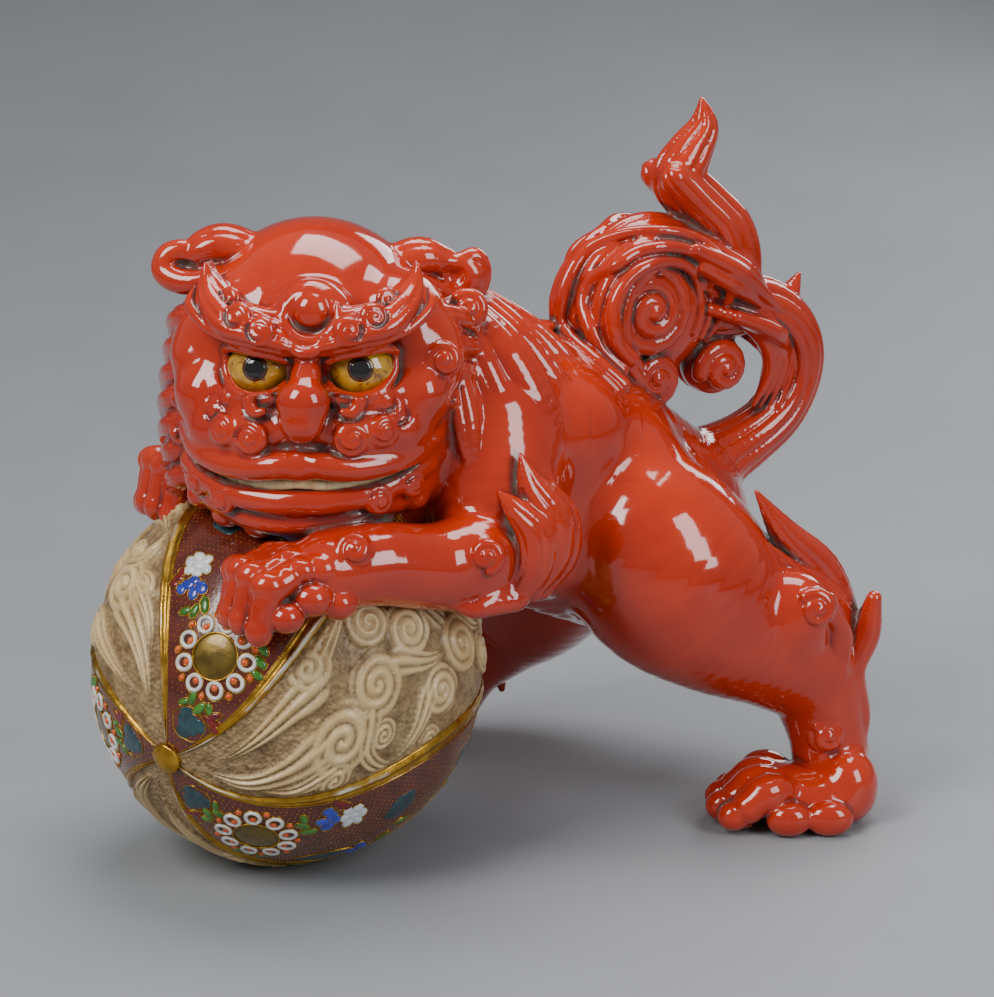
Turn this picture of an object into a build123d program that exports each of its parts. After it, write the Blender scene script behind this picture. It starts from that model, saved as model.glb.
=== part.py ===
from build123d import *
import os
from math import cos, radians, sin

# A porcelain lion dog with its forepaws on a decorated ball, in millimetres.
# Origin: centre of the overall box, on the surface that it stands on. +Z is up.
# Seen from -Y the lion's face and the front of the ball look at the viewer, and the tail is at +X.

os.makedirs("parts", exist_ok=True)

# ---------------------------------------------------------------- driving dimensions
ball_radius = 71.5            # to the tops of the gilt bands
ball_centre = Vector(-74.6, -32.7, 69.3)
ball_wall = 5.0               # porcelain wall of the ball
relief_height = 1.4           # panels stand this far out of the ball's shell
gore_count = 3                # cream gores, with as many brown ones between them
gore_width = 60.0             # degrees round the ball's axis
first_brown_gore = -35.0      # middle of one brown gore, degrees from the top
gore_swirl = 24.0             # degrees that a gore's edge swings between pole and equator
boss_radius = 4.2

heading = 28.9                # degrees from +X of the lion's own backward direction
wall = 5.0                    # porcelain wall of the lion
head_centre = ball_centre + Vector(10.0, -1.0, 112.0)
head_turn = 4.0               # degrees that the face is turned to the viewer's left
head_roll = 3.0               # degrees that the crown leans to the lion's left
skull_radius = 47.0


# ---------------------------------------------------------------- frames and helpers
def body(back, left, up):
    """Place in the lion's directions: back from the ball's centre, to the lion's left, and up."""
    x = ball_centre.X + back * cos(radians(heading)) + left * sin(radians(heading))
    y = ball_centre.Y + back * sin(radians(heading)) - left * cos(radians(heading))
    return Vector(x, y, up)


lion_left = Vector(sin(radians(heading)), -cos(radians(heading)), 0)
lion_back = Vector(cos(radians(heading)), sin(radians(heading)), 0)
side_on = Location((0, 0, 0), (0, 0, heading)) * Location((0, 0, 0), (90, 0, 0))
head_frame = Location(head_centre, (0, 0, -head_turn)) * Location((0, 0, 0), (0, head_roll, 0))


def face(right, back, up):
    """Place in the head's directions: to the viewer's right, back from the face, and up."""
    return (head_frame * Location((right, back, up))).position


def cluster(lobes):
    """Solid made of overlapping round lobes, each given as its centre and radius."""
    with BuildPart() as form:
        for centre, radius in lobes:
            with Locations(centre):
                Sphere(radius)
    return form.part


def limb(points, radii, side=None, flatness=1.0):
    """Solid lofted through round or flattened sections set square to a path of points.

    side is the direction in which a section keeps its full radius; flatness scales the other one.
    """
    sections = []
    for index, radius in enumerate(radii):
        ahead = points[min(index + 1, len(points) - 1)]
        behind = points[max(index - 1, 0)]
        square = Plane(origin=points[index], x_dir=side or lion_left, z_dir=ahead - behind)
        with BuildSketch(square) as section:
            Ellipse(radius, radius * flatness)
        sections.append(section.sketch)
    with BuildPart() as form:
        loft(sections=sections)
    return form.part


forms_in_place = []


def keep_form(form):
    """Remember a form, with its box, so that later pieces are trimmed to it."""
    forms_in_place.append((form, form.bounding_box()))


def trim_to_neighbours(piece):
    """Cut the piece being built back from every form already in place that its box meets."""
    box = piece.part.bounding_box()
    for form, other in forms_in_place:
        apart = (box.min.X > other.max.X or box.max.X < other.min.X or
                 box.min.Y > other.max.Y or box.max.Y < other.min.Y or
                 box.min.Z > other.max.Z or box.max.Z < other.min.Z)
        if not apart:
            add(form, mode=Mode.SUBTRACT)


def finish_piece(piece, label, form=None):
    """Name and write a finished piece, and keep its outer form for the pieces that meet it."""
    piece.part.label = label
    export_step(piece.part, f"parts/{label}.step")
    keep_form(form or piece.part)


# ---------------------------------------------------------------- ball
pole = Vector(-0.542, -0.816, -0.202).normalized()
upward = (Vector(0, 0, 1) - pole * pole.Z).normalized()
ball_plane = Plane(origin=ball_centre, x_dir=upward, z_dir=pole)
shell_radius = ball_radius - relief_height
floor_slab = Location((ball_centre.X, ball_centre.Y, -ball_radius))

for label, side in (("ball_front_shell", Keep.TOP), ("ball_rear_shell", Keep.BOTTOM)):
    with BuildPart() as half_shell:
        with Locations(ball_centre):
            Sphere(shell_radius)
            Sphere(shell_radius - ball_wall, mode=Mode.SUBTRACT)
        split(bisect_by=ball_plane, keep=side)
        with Locations(floor_slab):
            Box(4 * ball_radius, 4 * ball_radius, 2 * ball_radius, mode=Mode.SUBTRACT)
    half_shell.part.label = label
    export_step(half_shell.part, f"parts/{label}.step")


def swirled_wedge(middle, width):
    """Wedge about the ball's axis whose sides swing forward towards the equator."""
    reach = 3 * ball_radius
    steps = 12
    sections = []
    for step in range(steps + 1):
        height = ball_radius * (2 * step / steps - 1) * 1.02
        latitude = max(0.0, 1 - (height / ball_radius) ** 2) ** 0.75
        turn = middle + gore_swirl * latitude
        with BuildSketch(ball_plane.offset(height)) as section:
            with Locations(Location((0, 0, 0), (0, 0, turn))):
                spread = reach * sin(radians(width / 2))
                Polygon((0, 0), (reach * cos(radians(width / 2)), -spread),
                        (reach * cos(radians(width / 2)), spread), align=None)
        sections.append(section.sketch)
    with BuildPart() as wedge:
        loft(sections=sections, ruled=True)
    return wedge.part


band_angle = 2.4                 # degrees of azimuth that half a gilt band takes
boss_clearance = 1.2 * boss_radius
gore_groups = (
    ("ball_brocade_panels", first_brown_gore, gore_width - 2 * band_angle, 0.5 * relief_height),
    ("ball_relief_panels", first_brown_gore + gore_width, gore_width - 2 * band_angle, relief_height),
)
for label, first, width, height in gore_groups:
    wedges = [swirled_wedge(first + index * 360 / gore_count, width) for index in range(gore_count)]
    with BuildPart() as panels:
        for wedge in wedges:
            add(wedge)
        with Locations(ball_centre):
            Sphere(shell_radius + height, mode=Mode.INTERSECT)
            Sphere(shell_radius, mode=Mode.SUBTRACT)
        with Locations(ball_plane.location):
            Cylinder(boss_clearance, 3 * ball_radius, mode=Mode.SUBTRACT)
        with Locations(floor_slab):
            Box(4 * ball_radius, 4 * ball_radius, 2 * ball_radius, mode=Mode.SUBTRACT)
    panels.part.label = label
    export_step(panels.part, f"parts/{label}.step")

wedges = [swirled_wedge(first_brown_gore + gore_width * (index + 0.5), 2 * band_angle)
          for index in range(2 * gore_count)]
with BuildPart() as gilt_bands:
    for wedge in wedges:
        add(wedge)
    with Locations(ball_centre):
        Sphere(ball_radius, mode=Mode.INTERSECT)
        Sphere(shell_radius, mode=Mode.SUBTRACT)
    with Locations(ball_plane.location):
        Cylinder(boss_clearance, 3 * ball_radius, mode=Mode.SUBTRACT)
    with Locations(floor_slab):
        Box(4 * ball_radius, 4 * ball_radius, 2 * ball_radius, mode=Mode.SUBTRACT)
gilt_bands.part.label = "ball_gilt_bands"
export_step(gilt_bands.part, "parts/ball_gilt_bands.step")

with BuildPart() as ball_form:
    with Locations(ball_centre):
        Sphere(ball_radius + 0.2)
keep_form(ball_form.part)

bosses = (("ball_boss_front", ball_plane.location),
          ("ball_boss_rear", ball_plane.location * Location((0, 0, 0), (180, 0, 0))))
for label, place in bosses:
    with BuildPart() as boss:
        with Locations(place * Location((0, 0, shell_radius - 0.6))):
            Cylinder(boss_radius, 2.0, align=(Align.CENTER, Align.CENTER, Align.MIN))
            with Locations((0, 0, 2.0)):
                Sphere(0.6 * boss_radius)
        with Locations(ball_centre):
            Sphere(shell_radius, mode=Mode.SUBTRACT)
    boss.part.label = label
    export_step(boss.part, f"parts/{label}.step")

enamel_height = 0.6              # enamels stand this far out of the brocade
brocade_radius = shell_radius + 0.5 * relief_height


def on_ball(polar, azimuth, across, out):
    """Place on the ball: polar angle from the pole, azimuth before the gores' swirl, then a shift.

    The shift is across the gore and out from the pole in the surface's own plane, in millimetres.
    """
    turn = azimuth + gore_swirl * sin(radians(polar)) ** 1.5
    return (ball_plane.location * Location((0, 0, 0), (0, 0, turn)) *
            Location((0, 0, 0), (0, polar, 0)) * Location((out, across, ball_radius)))


def trim_to_enamel(height):
    """Keep only what lies between the brocade's surface and the enamel's own height."""
    with Locations(ball_centre):
        Sphere(brocade_radius + height, mode=Mode.INTERSECT)
        Sphere(brocade_radius, mode=Mode.SUBTRACT)
    with Locations(floor_slab):
        Box(4 * ball_radius, 4 * ball_radius, 2 * ball_radius, mode=Mode.SUBTRACT)


medallion_polar = 35.5
medallion_radius = 8.3
petal_ring = 12.6
petal_count = 9
petal_spots = [(medallion_polar, 0, petal_ring * sin(radians(index * 360 / petal_count)),
                petal_ring * cos(radians(index * 360 / petal_count))) for index in range(petal_count)]
# each group: label, radius of its round touches, height, and the places of the touches, as polar
# angle, azimuth from the gore's middle, and a shift across and out in millimetres
enamel_groups = (
    ("ball_medallions", medallion_radius, 0.6, ((medallion_polar, 0, 0, 0),)),
    ("ball_petals", 2.6, 0.9, petal_spots),
    ("ball_blossoms", 4.2, 0.8, ((50, 14, 0, 0), (51.5, 21, 0, 0), (57.5, 17, 0, 0))),
    ("ball_leaves", 1.8, 0.7, ((46.5, 10, 0, 0), (43.5, 17.5, 0, 0), (45, -20, 0, 0), (42, -22, 0, 0),
                               (39, -24, 0, 0), (20.5, 4, 0, 0), (21, -10, 0, 0))),
    ("ball_teal_patches", 3.0, 0.3, ((14.5, 6, 0, 0), (15, -14, 0, 0), (11, -4, 0, 0))),
)
gore_middles = [first_brown_gore + index * 360 / gore_count for index in range(gore_count)]
for label, touch_radius, height, spots in enamel_groups:
    with BuildPart() as enamel:
        for middle in gore_middles:
            for polar, azimuth, across, out in spots:
                with Locations(on_ball(polar, middle + azimuth, across, out),
                               on_ball(180 - polar, middle + azimuth, across, -out)):
                    Cylinder(touch_radius, 12)
        trim_to_enamel(height)
    enamel.part.label = label
    export_step(enamel.part, f"parts/{label}.step")

# ---------------------------------------------------------------- torso and hind legs
torso_path = ((28, 158, 42, 40), (62, 148, 52, 50), (98, 131, 50, 52), (130, 114, 48, 48),
              (158, 102, 46, 42), (178, 94, 36, 30), (194, 88, 16, 12))
hollow_start = (36, 156, 41, 39)
hollow_path = (hollow_start, *torso_path[1:-1])


def trunk(path, inset):
    """Solid lofted through oval stations (back, up, half width, half height) of the trunk."""
    places = [body(back, 0, up) for back, up, half_width, half_height in path]
    sections = []
    for index, (back, up, half_width, half_height) in enumerate(path):
        ahead = places[min(index + 1, len(places) - 1)]
        behind = places[max(index - 1, 0)]
        square = Plane(origin=places[index], x_dir=lion_left, z_dir=ahead - behind)
        with BuildSketch(square) as section:
            Ellipse(half_width - inset, half_height - inset)
        sections.append(section.sketch)
    with BuildPart() as form:
        loft(sections=sections)
    return form.part


torso_outer = trunk(torso_path, 0)
torso_hollow = trunk(hollow_path, wall)
with BuildPart() as torso_form:
    add(torso_outer)
    trim_to_neighbours(torso_form)
with BuildPart() as torso_cavity:
    add(torso_hollow)
    with Locations(ball_centre):
        Sphere(ball_radius + wall, mode=Mode.SUBTRACT)
with BuildPart() as torso_shell:
    add(torso_form.part)
    add(torso_cavity.part, mode=Mode.SUBTRACT)
finish_piece(torso_shell, "torso_shell", torso_form.part)

hind_legs = (
    ("left", 1, (116.0, -5),
     ((118, 36, 125, 14), (130, 38, 114, 33), (147, 42, 98, 43), (165, 49, 83, 38),
      (180, 55, 72, 30), (191, 60, 55, 20), (196, 63, 34, 16), (198, 64, 14, 15))),
    ("right", -1, (-36.5, 82),
     ((122, -34, 122, 14), (130, -36, 110, 32), (137, -42, 92, 41), (134, -54, 72, 36),
      (124, -66, 54, 26), (113, -76, 35, 19), (105, -81, 14, 16))),
)
hindpaw_lobes = ((14, 0, 12, 15), (3, -8, 9, 14), (3, 8, 9, 14), (-10, 0, 8, 13), (-21, -15, 7, 8.5),
                 (-24, -5, 7, 8.5), (-24, 6, 7, 8.5), (-20, 16, 7, 8.5))
for side, sign, (paw_x, paw_y), path in hind_legs:
    paw_form = cluster([(Vector(paw_x + along, paw_y + across, up), radius)
                        for along, across, up, radius in hindpaw_lobes])
    with BuildPart() as hindpaw:
        add(paw_form)
        with Locations((0, 0, -ball_radius)):
            Box(8 * ball_radius, 8 * ball_radius, 2 * ball_radius, mode=Mode.SUBTRACT)
        trim_to_neighbours(hindpaw)
    finish_piece(hindpaw, f"hindpaw_{side}")
    leg_points = [body(back, left, up) for back, left, up, radius in path]
    leg_radii = [radius for back, left, up, radius in path]
    leg_outer = limb(leg_points, leg_radii)
    leg_hollow = limb(leg_points[1:-1], [radius - wall for radius in leg_radii[1:-1]])
    with BuildPart() as hindleg_form:
        add(leg_outer)
        trim_to_neighbours(hindleg_form)
    with BuildPart() as hindleg:
        add(hindleg_form.part)
        add(leg_hollow, mode=Mode.SUBTRACT)
    finish_piece(hindleg, f"hindleg_{side}", hindleg_form.part)
    hock = body(*path[-3][:3])
    tuft_points = [hock + lion_back * back + Vector(0, 0, up)
                   for back, up in ((8, 0), (11, 18), (6, 38), (-9, 56), (-19, 74))]
    tuft = limb(tuft_points, (8, 12, 11, 8, 2), flatness=0.8)
    with BuildPart() as hock_tuft:
        add(tuft)
        trim_to_neighbours(hock_tuft)
    finish_piece(hock_tuft, f"hock_tuft_{side}")
    curl_spots = [(path[-3][0] - 4, path[-3][1] + sign * 17, path[-3][2] + 27, 9),
                  (path[-2][0] - 4, path[-2][1] + sign * 13, path[-2][2] - 6, 8)]
    with BuildPart() as hindleg_curls:
        for back, left, up, radius in curl_spots:
            with Locations(Location(body(back, left, up)) * side_on):
                Cylinder(radius, 12)
        trim_to_neighbours(hindleg_curls)
    finish_piece(hindleg_curls, f"hindleg_curls_{side}")

# ---------------------------------------------------------------- tail
with BuildPart() as tail_stem:
    add(limb([body(back, 0, up) for back, up in
              ((180, 124), (197, 131), (211, 140), (219, 152), (220, 165), (213, 177), (199, 184))],
             (14, 11, 10, 10, 10, 11, 12)))
    trim_to_neighbours(tail_stem)
finish_piece(tail_stem, "tail_stem")
with BuildPart() as tail_scrolls:
    for back, up, radius, thickness in ((155, 187, 27, 30), (146, 160, 14, 26), (178, 163, 11, 26)):
        with Locations(Location(body(back, 0, up)) * side_on):
            Cylinder(radius, thickness)
    trim_to_neighbours(tail_scrolls)
finish_piece(tail_scrolls, "tail_scrolls")
with BuildPart() as tail_plume:
    add(limb([body(back, 0, up) for back, up in
              ((130, 168), (123, 184), (125, 198), (136, 208), (152, 211), (168, 206), (182, 199))],
             (10, 12, 12, 12, 12, 12, 11)))
    trim_to_neighbours(tail_plume)
finish_piece(tail_plume, "tail_plume")
with BuildPart() as tail_flame:
    add(limb([body(back, 0, up) for back, up in
              ((188, 190), (194, 202), (190, 215), (179, 225), (168, 233), (163, 243), (167, 252),
               (173, 259), (174, 264))],
             (10, 12, 12, 12, 11, 10, 7, 4, 1.2)))
    trim_to_neighbours(tail_flame)
finish_piece(tail_flame, "tail_flame")

# ---------------------------------------------------------------- head
eye_radius = 10.0
for side, sign in (("left", 1), ("right", -1)):
    eye_centre = face(sign * 17.5, -36, 8)
    with BuildPart() as pupil:
        with Locations(face(sign * 17.5, -44.3, 8.3)):
            Sphere(3.6)
        with Locations(eye_centre):
            Sphere(eye_radius - 1.5, mode=Mode.SUBTRACT)
        trim_to_neighbours(pupil)
    finish_piece(pupil, f"pupil_{side}")
    with BuildPart() as eye:
        with Locations(eye_centre):
            Sphere(eye_radius)
        trim_to_neighbours(eye)
    finish_piece(eye, f"eye_{side}")

head_lobes = ((0, 0, 1, skull_radius), (0, 3, 9, 40), (22, -13, -12, 30), (-22, -13, -12, 30),
              (0, -14, -16, 30))
head_outer = cluster([(face(right, back, up), radius) for right, back, up, radius in head_lobes])
head_inner = cluster([(face(0, 0, 1), skull_radius - wall)])
with BuildPart() as head_form:
    add(head_outer)
    trim_to_neighbours(head_form)
with BuildPart() as head_shell:
    add(head_form.part)
    add(head_inner, mode=Mode.SUBTRACT)
finish_piece(head_shell, "head_shell", head_form.part)

with BuildPart() as nose:
    with Locations(face(0, -51, -2)):
        Sphere(9)
    with Locations(face(-12, -47, -4), face(12, -47, -4)):
        Sphere(6)
    trim_to_neighbours(nose)
finish_piece(nose, "nose")

with BuildPart() as forehead_jewel:
    with Locations(face(2, -39, 27)):
        Sphere(9)
    trim_to_neighbours(forehead_jewel)
finish_piece(forehead_jewel, "forehead_jewel")

across_face = face(1, 0, 0) - face(0, 0, 0)
up_face = face(0, 0, 1) - face(0, 0, 0)
with BuildPart() as teeth_strip:
    add(limb([face(*spot) for spot in ((-34, -34, -28), (-20, -46, -30), (0, -50, -31),
                                       (20, -46, -30), (34, -34, -28))],
             (1.5, 2.2, 2.2, 2.2, 1.5), side=up_face))
    trim_to_neighbours(teeth_strip)
finish_piece(teeth_strip, "teeth_strip")
with BuildPart() as fangs:
    for sign in (-1, 1):
        with Locations(head_frame * Location((sign * 29, -41, -29))):
            Cone(2.2, 0.5, 7, align=(Align.CENTER, Align.CENTER, Align.MIN))
    trim_to_neighbours(fangs)
finish_piece(fangs, "fangs")

muzzle_lobes = ((0, -38, -16, 13), (15, -37, -13, 15), (-15, -37, -13, 15), (28, -30, -14, 13),
                (-28, -30, -14, 13))
jaw_lobes = ((0, -37, -37, 11), (13, -35, -37, 11.5), (-13, -35, -37, 11.5), (26, -27, -35, 12),
             (-26, -27, -35, 12))
for label, lobes in (("muzzle", muzzle_lobes), ("lower_jaw", jaw_lobes)):
    form = cluster([(face(right, back, up), radius) for right, back, up, radius in lobes])
    with BuildPart() as face_part:
        add(form)
        trim_to_neighbours(face_part)
    finish_piece(face_part, label)

cheek_lobes = ((45, 8, 14, 12), (48, 5, -3, 13), (46, 1, -20, 13), (40, -5, -34, 10))
whisker_spots = ((17, -50, -12), (26, -45, -9), (31, -40, -2), (27, -42, 4))
beard_spots = ((27, -34, -32), (14, -42, -43), (0, -44, -45), (-14, -42, -43), (-27, -34, -32))
to_the_front = Location((0, 0, 0), (90, 0, 0))
for side, sign in (("left", 1), ("right", -1)):
    with BuildPart() as whisker_curls:
        for right, back, up in whisker_spots:
            with Locations(Location(face(sign * right, back, up)) * to_the_front):
                Cylinder(4.6, 8)
        trim_to_neighbours(whisker_curls)
    finish_piece(whisker_curls, f"whisker_curls_{side}")
    brow_points = [face(sign * right, back, up) for right, back, up in
                   ((6, -43, 13), (18, -43, 20), (30, -36, 29), (37, -27, 41))]
    brow_form = limb(brow_points, (5, 7, 6, 1.5), side=across_face)
    with BuildPart() as brow:
        add(brow_form)
        trim_to_neighbours(brow)
    finish_piece(brow, f"brow_{side}")
    cheek_form = cluster([(face(sign * right, back, up), radius)
                          for right, back, up, radius in cheek_lobes])
    with BuildPart() as cheek_mane:
        add(cheek_form)
        trim_to_neighbours(cheek_mane)
    finish_piece(cheek_mane, f"cheek_mane_{side}")
with BuildPart() as beard_curls:
    for right, back, up in beard_spots:
        with Locations(face(right, back, up)):
            Sphere(5.5)
    trim_to_neighbours(beard_curls)
finish_piece(beard_curls, "beard_curls")

ears = (("left", ((24, 8, 33, 6), (37, 13, 37, 9), (50, 18, 34, 11), (56, 22, 25, 9), (51, 18, 16, 4))),
        ("right", ((-18, 4, 38, 5), (-31, 0, 42, 7), (-44, 0, 39, 9), (-49, 0, 30, 8), (-40, -5, 24, 4))))
for side, path in ears:
    ear_form = limb([face(*spot[:3]) for spot in path], [spot[3] for spot in path],
                    side=face(0, 1, 0) - face(0, 0, 0))
    with BuildPart() as ear:
        add(ear_form)
        trim_to_neighbours(ear)
    finish_piece(ear, f"ear_{side}")

# ---------------------------------------------------------------- mane
with BuildPart() as mane_crest:
    for index in range(5):
        with Locations(body(72 + 10 * index, 0, 209 - 8.5 * index)):
            Sphere(9 - index)
    trim_to_neighbours(mane_crest)
finish_piece(mane_crest, "mane_crest")
for side, sign in (("left", 1), ("right", -1)):
    lock_form = limb([body(back, sign * left, up) for back, left, up in
                      ((56, 14, 208), (64, 28, 198), (72, 40, 184), (80, 48, 168), (85, 51, 152))],
                     (10, 13, 12, 9, 2), side=lion_back)
    with BuildPart() as mane_lock:
        add(lock_form)
        trim_to_neighbours(mane_lock)
    finish_piece(mane_lock, f"mane_lock_{side}")

# ---------------------------------------------------------------- forelegs
forelegs = (
    ("left", 1, (-27, 56, 120),
     ((64, 34, 160, 26), (62, 42, 142, 27), (58, 50, 124, 21), (44, 57, 117, 16), (26, 60, 120, 14),
      (6, 61, 124, 14), (-14, 60, 123, 14))),
    ("right", -1, (-23, -33, 139),
     ((54, -34, 160, 26), (54, -42, 142, 27), (48, -50, 126, 20), (30, -54, 126, 15),
      (8, -49, 134, 14), (-12, -40, 138, 13))),
)
forepaw_lobes = ((7, 0, 2.2, 13.6), (-7, 0, 0.3, 12.7))
for side, sign, paw_spot, path in forelegs:
    paw_form = cluster([(body(paw_spot[0] + back, paw_spot[1] + sign * left, paw_spot[2] + up), radius)
                        for back, left, up, radius in forepaw_lobes])
    with BuildPart() as forepaw:
        add(paw_form)
        trim_to_neighbours(forepaw)
    finish_piece(forepaw, f"forepaw_{side}")
    leg_points = [body(*spot[:3]) for spot in path]
    leg_radii = [spot[3] for spot in path]
    leg_outer = limb(leg_points, leg_radii)
    leg_hollow = limb(leg_points[1:-1], [radius - wall for radius in leg_radii[1:-1]])
    with BuildPart() as foreleg_form:
        add(leg_outer)
        trim_to_neighbours(foreleg_form)
    with BuildPart() as foreleg:
        add(foreleg_form.part)
        add(leg_hollow, mode=Mode.SUBTRACT)
    finish_piece(foreleg, f"foreleg_{side}", foreleg_form.part)
    elbow = path[2]
    tuft_form = limb([body(elbow[0] + back, elbow[1] + sign * 14, elbow[2] + up)
                      for back, up in ((6, -16), (10, -4), (10, 8), (4, 20), (2, 30))],
                     (6, 9, 9, 6, 1.5))
    with BuildPart() as elbow_tuft:
        add(tuft_form)
        trim_to_neighbours(elbow_tuft)
    finish_piece(elbow_tuft, f"elbow_tuft_{side}")
    wrist = path[-1]
    curl_spots = [(elbow[0] - 4, elbow[1] + sign * 20, elbow[2] - 4, 6),
                  (wrist[0] + 8, wrist[1] + sign * 11, wrist[2] + 5, 6)]
    with BuildPart() as foreleg_curls:
        for back, left, up, radius in curl_spots:
            with Locations(Location(body(back, left, up)) * side_on):
                Cylinder(radius, 10)
        trim_to_neighbours(foreleg_curls)
    finish_piece(foreleg_curls, f"foreleg_curls_{side}")
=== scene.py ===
import math

import bmesh
import bpy
import numpy as np
import openvdb
from mathutils import Matrix, Vector


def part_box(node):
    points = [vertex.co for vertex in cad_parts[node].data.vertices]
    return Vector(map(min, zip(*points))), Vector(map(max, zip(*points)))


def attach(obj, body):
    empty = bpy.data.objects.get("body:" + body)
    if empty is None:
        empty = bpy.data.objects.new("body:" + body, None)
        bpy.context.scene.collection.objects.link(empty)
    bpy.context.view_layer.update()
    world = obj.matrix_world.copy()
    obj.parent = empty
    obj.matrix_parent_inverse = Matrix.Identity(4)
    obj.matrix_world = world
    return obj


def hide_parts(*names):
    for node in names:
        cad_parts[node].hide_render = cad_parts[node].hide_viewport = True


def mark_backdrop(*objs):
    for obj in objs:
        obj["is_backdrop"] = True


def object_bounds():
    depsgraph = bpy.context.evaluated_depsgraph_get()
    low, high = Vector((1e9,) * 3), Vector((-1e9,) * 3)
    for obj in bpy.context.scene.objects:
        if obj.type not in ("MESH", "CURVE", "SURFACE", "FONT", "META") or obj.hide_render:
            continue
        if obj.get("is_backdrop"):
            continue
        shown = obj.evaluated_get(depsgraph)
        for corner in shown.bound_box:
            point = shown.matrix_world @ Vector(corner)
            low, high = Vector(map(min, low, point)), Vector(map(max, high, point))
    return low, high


# The porcelain lion dog on its ball. Every glazed form is modelled in one block of virtual clay,
# a grid of signed distances in millimetres, which is then cut into the lion's named pieces. The
# ball's panels, bands and enamels are built on its sphere, from polar angle and azimuth.

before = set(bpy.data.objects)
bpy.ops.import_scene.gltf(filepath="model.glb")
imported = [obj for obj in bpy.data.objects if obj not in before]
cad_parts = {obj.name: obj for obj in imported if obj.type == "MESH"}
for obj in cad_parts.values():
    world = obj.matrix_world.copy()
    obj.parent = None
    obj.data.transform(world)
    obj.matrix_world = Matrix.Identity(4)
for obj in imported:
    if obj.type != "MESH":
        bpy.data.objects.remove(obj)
cad_low, cad_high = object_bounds()

MM = 0.001
FAR = 9.0                               # distances are kept up to this far from a surface
MARGIN = 0.7 * FAR                      # how far round itself a form changes the clay
STEP = 0.6       # spacing of the clay's grid


# ------------------------------------------------------------------ places, in millimetres
shell_boxes = np.array([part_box(node) for node in ("ball_front_shell", "ball_rear_shell")]) / MM
shell_low, shell_high = shell_boxes[:, 0].min(0), shell_boxes[:, 1].max(0)
SHELL_RADIUS = (shell_high[0] - shell_low[0]) / 2
BALL = np.array([(shell_low[0] + shell_high[0]) / 2, (shell_low[1] + shell_high[1]) / 2,
                 shell_high[2] - SHELL_RADIUS])
HEADING = math.radians(28.9)            # the lion's back end, turned from +X
BACK = np.array([math.cos(HEADING), math.sin(HEADING), 0.0])
LEFT = np.array([math.sin(HEADING), -math.cos(HEADING), 0.0])
UP = np.array([0.0, 0.0, 1.0])


def body(back, left, up):
    """Back from the ball's centre, to the lion's left, and height above the floor."""
    place = BALL + back * BACK + left * LEFT
    return np.array([place[0], place[1], up])


def unit(vector):
    """The vector with a length of one."""
    vector = np.asarray(vector, float)
    return vector / np.linalg.norm(vector)


def turned(yaw, roll):
    """Axes turned about Z and leant about Y, in degrees."""
    return np.array(Matrix.Rotation(math.radians(yaw), 3, "Z") @ Matrix.Rotation(math.radians(roll), 3, "Y"))


FACE_CENTRE = BALL + np.array([15.0, -1.3, 111.75])
FACE_AXES = turned(-4.0, -0.5)
JAW_SWING = 0.085                       # the lower face leans this much to the viewer's left


def face(right, back, up):
    """To the viewer's right of the nose, back from the face, and up, in the head's directions."""
    right = right - JAW_SWING * max(0.0, 8.0 - up)
    return FACE_CENTRE + FACE_AXES @ np.array([right, back, up], float)


def face_way(right, back, up):
    """A direction in the face's own axes."""
    return unit(FACE_AXES @ np.array([right, back, up], float))


CROWN = BALL + np.array([10.0, -1.0, 112.0])
CROWN_AXES = turned(-4.0, 3.0)


def head(right, back, up):
    """Place about the skull's own centre, whose crown leans to the viewer's right."""
    return CROWN + CROWN_AXES @ np.array([right, back, up], float)


def tail(back, up, left=0.0):
    """A place in the tail's upright plane, or to the left of it."""
    return body(back, left, up)


def sided(name, sign):
    """The name of a piece on one side of the lion."""
    return name + ("_left" if sign > 0 else "_right")


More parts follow.
